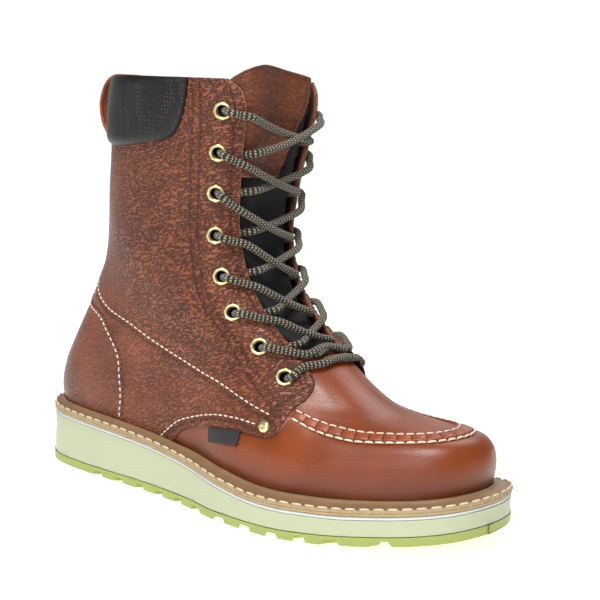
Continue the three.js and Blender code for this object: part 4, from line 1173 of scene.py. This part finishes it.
def outsole():
    """The tread: a height over the plan that slopes 3 mm into the rubber over 8.5 mm and
    comes back at one step, every 18.3 mm, all of it shifted by a zigzag across the sole. At
    the side each slope opens into a notch."""
    end = SOLE_LENGTH / 2
    lowest = -end + HEEL_BLOCK + LUG_SLOPE + LUG_SWING / 2
    highest = end - TOE_BLOCK - LUG_SWING / 2
    lugs = int((highest - lowest) // LUG_PITCH)
    fronts = highest - LUG_PITCH * np.arange(lugs, -1, -1)
    ends = end * np.cos(np.linspace(0.008, 0.4, 18))
    p = np.sort(np.concatenate(
        [np.linspace(-end, end, 230), ends, -ends, fronts + 0.001]
        + [fronts - s for s in (LUG_SLOPE, 0.12, 0, 8.4, 7.8, 7.2, 6.6, 1.2, 0.7, 0.3)]))
    w = np.sin(np.linspace(-math.pi / 2, math.pi / 2, 113))[None]
    calm = ease(p, 4 - end, lowest - LUG_SLOPE) * (1 - ease(p, highest + 1, end - 4))
    p = p[:, None]
    x = p + 0 * w
    for _ in range(14):
        y = w * reach(np.where(w < 0, -1.0, 1.0), along(x))
        phase = np.abs(((y / LUG_WAVE) % 1) - 0.5) * 2
        x = np.clip(p + calm[:, None] * LUG_SWING * (0.5 - phase), -end, end)
    depth = np.zeros(p.shape)
    notch = np.zeros(p.shape)
    for front in fronts:
        slope = (p - (front - LUG_SLOPE)) / LUG_SLOPE
        depth = np.where((p >= front - LUG_SLOPE) & (p <= front), np.clip(slope, 0, 1), depth)
        notch += ease(p, front - 8.6, front - 6.4) * (1 - ease(p, front - 1.4, front + 0.2))
    knurled = (depth < 0.02) & (p > fronts[0] - LUG_SLOPE)
    wide = np.abs(w)
    depth = mix(depth, notch, ease(wide, 0.76, 0.86))
    rim = TREAD_ROUND * (1 - np.sqrt(np.clip(1 - ease(wide, 0.985, 1.0) ** 2, 0, 1)))
    rim = np.where(np.abs(p) > end - 0.001, TREAD_ROUND, rim)
    level = ground(x) + LUG_DEPTH * depth + rim * (1 - depth)
    points, quads, _ = shell(np.stack([x, y, level], axis=-1),
                             np.stack([x, y, ground(x) + OUTSOLE - 0.1], axis=-1))
    green = (wide > 0.975) | ((notch > 0.1) & (wide > 0.7)) | (np.abs(p) > end - 5)
    under = np.where(green, 0.0, 1.0)
    marks = {"under": on_both(under), "knurled": on_both(knurled * under),
             "ribbed": on_both((p < fronts[0] - LUG_SLOPE - 2) * under)}
    made = piece("tread", points, quads, TREAD_RUBBER, marks=marks, sharp=30, weld=True)
    stood(made, "outsole")


outsole()

WELT_PITCH = 7.4


def welt():
    """The welt: a closed profile carried round the boot, from the ledge inside to the cut
    side, up over the stitched edge and against the foot of the upper."""
    count = 620
    turn = np.linspace(-math.pi, math.pi, count + 1)[:-1]
    edge = edge_point(turn, 0)
    run = lengths(edge)
    wave = np.cos(2 * math.pi * run / WELT_PITCH)
    cover = 0.1 + OVERLAY * (1 - ease(np.abs(turn), 1.36, 1.5))

    def flat(inset, up, base=welt_top):
        plan = edge_point(turn, inset)
        return np.c_[plan, base(plan[:, 0]) + up]

    def foot(distance, up, base=welt_top, at=0.0):
        plan = proud(at, turn, distance)
        plan[:, 2] = base(plan[:, 0]) + up
        return plan

    # Line of the profile, how far it is cut side, how much painted shade it takes
    rows = [
        (foot(-4.6, 0.2, strip_top), 0, 0), (foot(-4.6, -0.1), 0, 0),
        (foot(cover, -0.1), 0, 0.6), (foot(cover, 2.4, at=0.3), 0, 0.7),
        (foot(cover + 0.5, 2.75, at=0.36), 0, 0.15), (foot(cover + 1.4, 2.5, at=0.3), 0, 0),
        (foot(cover + 2.6, 1.7), 0, 0), (foot(cover + 3.6, 0.9), 0, 0),
        (flat(2.6, 0.35), 0, 0), (flat(1.9, 0.05 - 0.12 * wave), 0, 0.25),
        (flat(1.2, 0.12 - 0.3 * wave), 0.3, 0.1), (flat(0.55, -0.1 - 0.3 * wave), 0.7, 0),
        (flat(0.1, -0.6 - 0.2 * wave), 1, 0), (flat(0.05 - 0.1 * wave, -1.7), 1, 0),
        (flat(0.35, -2.0), 1, 0.35), (flat(0.05, -2.3), 1, 0),
        (flat(0.05, -3.2), 1, 0), (flat(0.45, -3.8), 1, 0.3),
    ]
    points, quads = loops(np.stack([r for r, _, _ in rows], axis=1), True)
    cut, dark = (np.tile([row[k] for row in rows], count) for k in (1, 2))
    made = piece("storm_welt", points, quads, WELT_LEATHER, marks={"cut": cut, "dark": dark})
    stood(made, "welt")
    plan = flat(0.75, 0.15)
    lean = unit(np.c_[edge_point(turn, -1.0) - edge, np.full(count, 1.6)])
    row = Line(np.concatenate([plan, plan[:1]]), np.concatenate([lean, lean[:1]]))
    at = np.interp(np.arange(WELT_PITCH, row.length[-1], WELT_PITCH), row.length[:-1], turn)
    top, low = edge_point(at, 0.25), edge_point(at, -0.02)
    out = unit(np.c_[low - edge_point(at, 1.0), np.zeros(len(at))])
    ties = [Line(np.array([[*place, welt_top(place[0]) - down]
                           for place, down in ((top[k], 0.2), (low[k], 1.2), (low[k], 3.5))]),
                 np.repeat(out[k:k + 1], 3, axis=0)) for k in range(len(at))]
    stitches("welt_stitches", [row], WELT_THREAD, 6.0, WELT_PITCH, 1.1)
    stitches("welt_ties", ties, TIE_THREAD, 3.4, 3.0, 0.6)


welt()


# Tongue

def tongue_place(level, across, height):
    """The tongue's form: inside the upper, and between the flaps drawn back from the last's
    front until it lies behind the lace."""
    distance = np.abs(across)
    side = np.where(across < 0, -1.0, 1.0)
    outer, inner = (np.abs(turn_at(level, s, np.maximum(distance, 0.01))) for s in (-1, 1))
    turn = side * np.where(side < 0, outer, inner)
    gap = throat_gap(np.minimum(level, 15.0))
    flap = last(level, turn_at(level, 1, gap))[..., 0]
    front = last(level, math.pi)[..., 0]
    draw = (front - flap) * ease(level, 8.4, 10) * (1 - ease(distance, 0, gap * 1.1) ** 1.2)
    place = proud(level, turn, -WALL - 0.5 - height)
    place[..., 0] -= draw
    return place


# Level, outer edge, inner edge, as shares of the ball's breadth
TONGUE_EDGES = np.array([
    (8.2, -0.26, 0.26), (9, -0.28, 0.28), (10, -0.30, 0.30), (11, -0.31, 0.31),
    (12, -0.32, 0.32), (12.7, -0.325, 0.325), (13.2, -0.33, 0.33), (13.7, -0.335, 0.335),
    (14.4, -0.34, 0.34), (15.1, -0.35, 0.35), (15.9, -0.35, 0.35),
])
TONGUE_DROP = np.array([
    (0, 10.0), (0.04, 6.5), (0.1, 3.2), (0.2, 0.8), (0.32, 0.0), (0.45, 0.4), (0.7, 2.6),
    (1, 6.0),
])
FACING_EDGES = np.array([
    (13.2, -0.27, 0.085), (13.7, -0.285, 0.125), (14.4, -0.305, 0.17), (15.1, -0.325, 0.205),
    (15.9, -0.335, 0.225), (16.55, -0.335, 0.225),
])


def tongue_sheet(edges, near, far, drop, rows, cols):
    """Two grids on the tongue's form; its top edge falls away by drop's millimetres."""
    level = np.linspace(edges[0, 0], edges[-1, 0], rows)[:, None] + np.zeros((1, cols))
    share = np.linspace(0, 1, cols)[None] + np.zeros((rows, 1))
    across = BALL_BREADTH * mix(through(edges[:, :2], level), through(edges[:, ::2], level), share)
    fall = through(drop, share) * ease(level, 14.6, 16.5)
    grids = [tongue_place(level, across, height(level, share)) for height in (near, far)]
    for grid in grids:
        grid[..., 2] -= fall
    return grids, level, share


def rim_share(share, steep):
    return 1 - np.minimum(np.minimum(share, 1 - share) * steep, 1.0)


def tongue():
    def near(level, share):
        return FACING + 0.8 + 0.5 * rim_share(share, 60)

    def far(level, share):
        return near(level, share) + TONGUE

    grids, level, share = tongue_sheet(TONGUE_EDGES, near, far, TONGUE_DROP * (1, 0), 90, 60)
    points, quads, _ = shell(*grids)
    stood(piece("tongue_body", points, quads, TEXTILE, sharp=50), "tongue")


def tongue_facing():
    bottom, top = FACING_EDGES[[0, -1], 0]

    def front(level, share):
        ripple = 0.35 * np.sin(level * 11 + 3 * share) * ease(level, 13.4, 14) \
            + 0.25 * np.sin(level * 23 + 5 * share + 1.0)
        return (0.35 - 0.5 * ripple + 0.5 * rim_share(share, 50) ** 2
                + 0.2 * ease(level, 16.4, top))

    def behind(level, share):
        return FACING + 0 * share

    grids, level, share = tongue_sheet(FACING_EDGES, front, behind, TONGUE_DROP, 130, 90)
    points, quads, _ = shell(*grids)
    edge = np.minimum(np.minimum(share, 1 - share) * 55,
                      np.minimum(level - bottom, top - level) * 24)
    marks = {"edge_mm": on_both(edge), "grain": on_both(np.ones(level.size), 1),
             "seam_mm": on_both(np.abs(edge - 3.2), FAR), "dark": on_both(0 * edge)}
    made = piece("tongue_top", points, quads, FACING_LEATHER, marks=marks, sharp=50)
    stood(made, "tongue_facing")


tongue()
tongue_facing()


# Collar

# Turn and level of the pad's lower seam
PAD_FOOT = np.array([
    (0, 13.42), (0.9, 13.45), (1.24, 13.55), (1.536, 13.7), (1.706, 13.82), (1.8, 13.98),
    (1.846, 14.3), (1.868, 14.8), (1.886, 15.9),
])


def collar_pad():
    """The collar's pad: leather over foam, a crown of 3 mm that falls off within 6 mm of the
    seam all round, as a quarter of a circle. Its lower front corners are rounded."""
    rows, cols = ((90, 280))
    half = PAD_FOOT[-1, 0]
    turn = half * np.sin(np.linspace(-math.pi / 2, math.pi / 2, cols))[None]
    turn = turn + np.zeros((rows, 1))
    share = (0.5 - 0.5 * np.cos(np.linspace(0, math.pi, rows)))[:, None]
    level = mix(through(PAD_FOOT, np.abs(turn)), COLLAR_LEVEL, share)
    around = np.linspace(-half, half, 400)
    foot = np.c_[through(PAD_FOOT, np.abs(around)), around]
    outline = [line_on(foot), line_on(np.c_[np.full(400, COLLAR_LEVEL), around])]
    rim = distance_to(outline, proud(level, turn, OVERLAY))
    crown = quarter_round(rim / 6.0)
    ripple = 0.2 * np.sin(turn * 9) * np.sin(level * 3)
    points, quads, _ = shell(proud(level, turn, OVERLAY + 0.35 + (2.7 + ripple) * crown),
                             proud(level, turn, OVERLAY + 0.1))
    marks = {"dark": on_both((1 - ease(rim, 0.3, 1.6)) * 0.9)}
    made = piece("padded_collar", points, quads, PAD_LEATHER, marks=marks, sharp=70)
    stood(made, "collar_pad")


collar_pad()

# The pull loop: how far each point of its path is up its height, and how far out
LOOP_PATH = np.array([
    (0.02, 0.6), (0.1, 5.0), (0.28, 11.0), (0.55, 13.9), (0.8, 12.6), (0.94, 8.6), (0.99, 3.0),
    (0.93, 1.6), (0.75, 1.4), (0.5, 1.4), (0.2, 1.4),
])
LOOP_HEIGHT = 40.0
LOOP_WIDTH = 21.0
LOOP_STRAP = 2.3
# The leather, and the pad's 3 mm with 0.6 mm on both sides of it
LOOP_BASE = OVERLAY + 0.6 + 3 + 0.6
# The back of the shaft behind the loop: height and x
LOOP_BACK = np.array([(190, -107.4), (205, -106.6), (220, -105.8), (237, -103.4)])


def pull_loop():
    """The strap behind the collar: a flat section carried round a closed path that bows out
    15 mm and comes back against the pad."""
    closed = np.concatenate([LOOP_PATH[-1:], LOOP_PATH, LOOP_PATH[:2]])
    fine = np.linspace(1, len(LOOP_PATH) + 1, 120, endpoint=False)
    share, out = (between(closed[:, k], fine) for k in (0, 1))
    z = BOOT_HEIGHT - LOOP_HEIGHT * (1 - share)
    around = np.linspace(0, 2 * math.pi, 25)[:-1]

    def squared(wave):
        return np.sign(wave) * np.abs(wave) ** 0.35

    y = squared(np.sin(around)) * LOOP_WIDTH / 2
    lift = squared(np.cos(around)) * LOOP_STRAP / 2
    path = np.c_[np.interp(z, *LOOP_BACK.T) - LOOP_BASE - out, z]
    tangent = unit(np.roll(path, -1, axis=0) - np.roll(path, 1, axis=0))
    x = path[:, :1] + tangent[:, 1:] * lift[None] + (y ** 2)[None] / 90
    up = path[:, 1:] - tangent[:, :1] * lift[None]
    points, quads = loops(np.stack([x, y + 0 * x, up], axis=-1), True)
    edge = (np.maximum(0.2, LOOP_WIDTH / 2 - np.abs(y)) + 0 * x).ravel() + 1.0
    marks = {"edge_mm": edge, "seam_mm": np.abs(edge - 3.0), "dark": 0 * edge,
             "grain": 1 + 0 * edge}
    stood(piece("pull_strap", points, quads, LOOP_LEATHER, marks=marks), "pull_loop")


pull_loop()


# Hardware

def lathe(name, profile, level, turn, node, weld=False):
    """Brass: a profile of radius and height turned round an axis that stands on the leather.
    Beyond 4 mm its outline is pressed into eight soft corners."""
    axis = outward(level, turn)
    helper = np.array([0.0, 0.0, 1.0]) if abs(axis[2]) < 0.9 else np.array([1.0, 0.0, 0.0])
    first = unit(np.cross(helper, axis))
    angle = np.linspace(0, 2 * math.pi, 41)[:-1]
    ring = ring_of(first, np.cross(axis, first), angle)
    pressed = 1 - 0.028 * (1 - np.cos(8 * angle))[:, None, None] * (profile[None, :, :1] > 4)
    rings = (proud(level, turn, OVERLAY) + ring[:, None] * profile[None, :, :1] * pressed
             + axis * profile[None, :, 1:])
    stood(piece(name, *loops(rings, True), BRASS, weld=weld), node)


# Radius and height: a rolled rim round a barrel, and a low dome
EYELET = np.array([
    (3.0, -3.0), (3.4, -3.0), (3.4, 0.02), (4.75, 0.02), (5.0, 0.2), (5.05, 0.5),
    (4.9, 0.85), (4.5, 1.15), (4.0, 1.25), (3.6, 1.1), (3.3, 0.8), (3.1, 0.3), (3.0, -0.3),
])
RIVET = np.array([(0.02, 0.2), (3.4, 0.2), (3.4, 0.5), (3.1, 1.1), (2.4, 1.6), (1.4, 1.9),
                  (0.02, 2.0)])
for word, side in (("lateral", -1), ("medial", 1)):
    for number in range(len(EYELETS)):
        lathe(f"brass_eyelet_{word}_{number + 1}", EYELET, *eyelet_place(number, side),
              f"eyelet_{word}_{number + 1}")
    lathe(f"brass_rivet_{word}", RIVET, 4.6, side * 1.901, f"rivet_{word}", weld=True)


# Four corners of the tab as levels and as turns, upper pair first
TAB_LEVELS = [(2.85, 3.7), (1.85, 2.55)]
TAB_TURNS = [(1.587, 1.763), (1.593, 1.744)]


def side_tab():
    """The woven tab that hangs from the quarter's edge."""
    u = np.linspace(0, 1, 40)[None]
    v = np.linspace(0, 1, 18)[:, None]
    level, turn = (mix(mix(*upper, u), mix(*lower, u), v)
                   for upper, lower in (TAB_LEVELS, TAB_TURNS))
    rim = np.minimum(np.minimum(u, 1 - u) * 26, (1 - v) * 9) + 0 * v
    points, quads, _ = shell(proud(level, -turn, 1.15 + 0.35 * quarter_round(rim)),
                             proud(level, -turn, 0.45))
    marks = {"rim_mm": np.concatenate([rim.ravel(), rim.ravel()])}
    stood(piece("woven_tab", points, quads, TAB_RIBBON, marks=marks), "side_tab")


BADGE_HALF = (11.0, 17.5)
BADGE_MIDDLE = (-29.3, -6.8)
BADGE_TURN = 0.1


def badge():
    """The bare badge in its pocket under the sole, with a raised rim."""
    u = np.linspace(-1, 1, 60)[None] + np.zeros((90, 1))
    v = np.linspace(-1, 1, 90)[:, None] + np.zeros((1, 60))
    x, y = u * BADGE_HALF[0], v * BADGE_HALF[1]
    rim = np.minimum((1 - np.abs(u)) * BADGE_HALF[0], (1 - np.abs(v)) * BADGE_HALF[1])
    cos, sin = math.cos(BADGE_TURN), math.sin(BADGE_TURN)
    x, y = BADGE_MIDDLE[0] + x * cos - y * sin, BADGE_MIDDLE[1] + x * sin + y * cos
    ridge = np.exp(-((rim - 1.3) / 0.55) ** 2)
    low = ground(x) + 0.7 - 0.4 * ridge + 0.4 * (1 - ease(rim, 0, 0.6))
    points, quads, _ = shell(np.stack([x, y, low], axis=-1),
                             np.stack([x, y, ground(x) + 1.8], axis=-1))
    stood(piece("bare_badge", points, quads, BADGE_RUBBER), "sole_badge")


side_tab()
badge()
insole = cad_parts["insole"]
insole.data.materials.clear()
insole.data.materials.append(LINING)

WHITE = (1, 1, 1, 1)
# Area lamps: place, size, power
LAMPS = {"key": ((0.4, -0.7, 1.5), 0.5, 28), "front": ((0.5, -1.4, 0.6), 0.7, 9),
         "left": ((-1.4, -0.8, 0.4), 0.5, 2), "back": ((0.0, 1.0, 1.3), 0.8, 9)}


def studio():
    """A floor that glows, painted light that makes it white where it is seen and dim elsewhere,
    fainter and on a greyer base next to the boot, and a sky that is white where it is seen and
    dim elsewhere, with soft lamps high over the camera and, fainter, before, behind and at the
    heel."""
    floor = bpy.data.meshes.new("floor")
    floor.from_pydata([(-6, -6, 0), (6, -6, 0), (6, 6, 0), (-6, 6, 0)], [], [(0, 1, 2, 3)])
    made, tree = material("studio_floor", "f0f0f0", 0.9, Emission_Color=WHITE)
    here = placed(tree, (1, 1, 0))
    away = add(tree, "ShaderNodeVectorMath", {0: here}, operation="LENGTH").outputs["Value"]
    behind = dotted(tree, here, (-0.61, 0.79, 0))
    off = maths(tree, "MULTIPLY_ADD", behind, -0.28,
                maths(tree, "ABSOLUTE", dotted(tree, here, (0.79, 0.61, 0))))
    seen = times(tree, ranged(tree, off, 0.4, 0.75, 1.0, 0.0),
                 ranged(tree, behind, -0.7, -0.4, 0.0, 1.0))
    light = times(tree, maths(tree, "MAXIMUM", seen, 0.15),
                  ranged(tree, away, 0.2, 0.42, 0.7, 1.0))
    # Painted light: the floor's glow
    tree.links.new(light, tree.nodes["Principled BSDF"].inputs["Emission Strength"])
    plain = ranged(tree, away, 0.2, 0.42, 1.0, 0.0)
    floor.materials.append(dressed(made, blended(tree, plain, "b4b4b4", "f0f0f0")))
    linked("floor", floor)
    world = bpy.data.worlds.new("studio")
    world.use_nodes = True
    tree = world.node_tree
    here = add(tree, "ShaderNodeTexCoord").outputs["Generated"]
    ahead = dotted(tree, here, (-0.603, 0.782, -0.158))
    back = tree.nodes["Background"]
    back.inputs[0].default_value = WHITE
    tree.links.new(ranged(tree, ahead, 0.75, 0.93, 0.17, 1.02), back.inputs[1])
    bpy.context.scene.world = world
    for name, (place, size, power) in LAMPS.items():
        lamp = bpy.data.lights.new(name, "AREA")
        lamp.size = size
        lamp.energy = power
        held = linked(name, lamp)
        held.location = place
        aim = Vector((0, 0, 0.1)) - Vector(place)
        held.rotation_euler = aim.to_track_quat("-Z", "Y").to_euler()
    bpy.context.scene.view_settings.view_transform = "Standard"


studio()
bpy.context.view_layer.update()
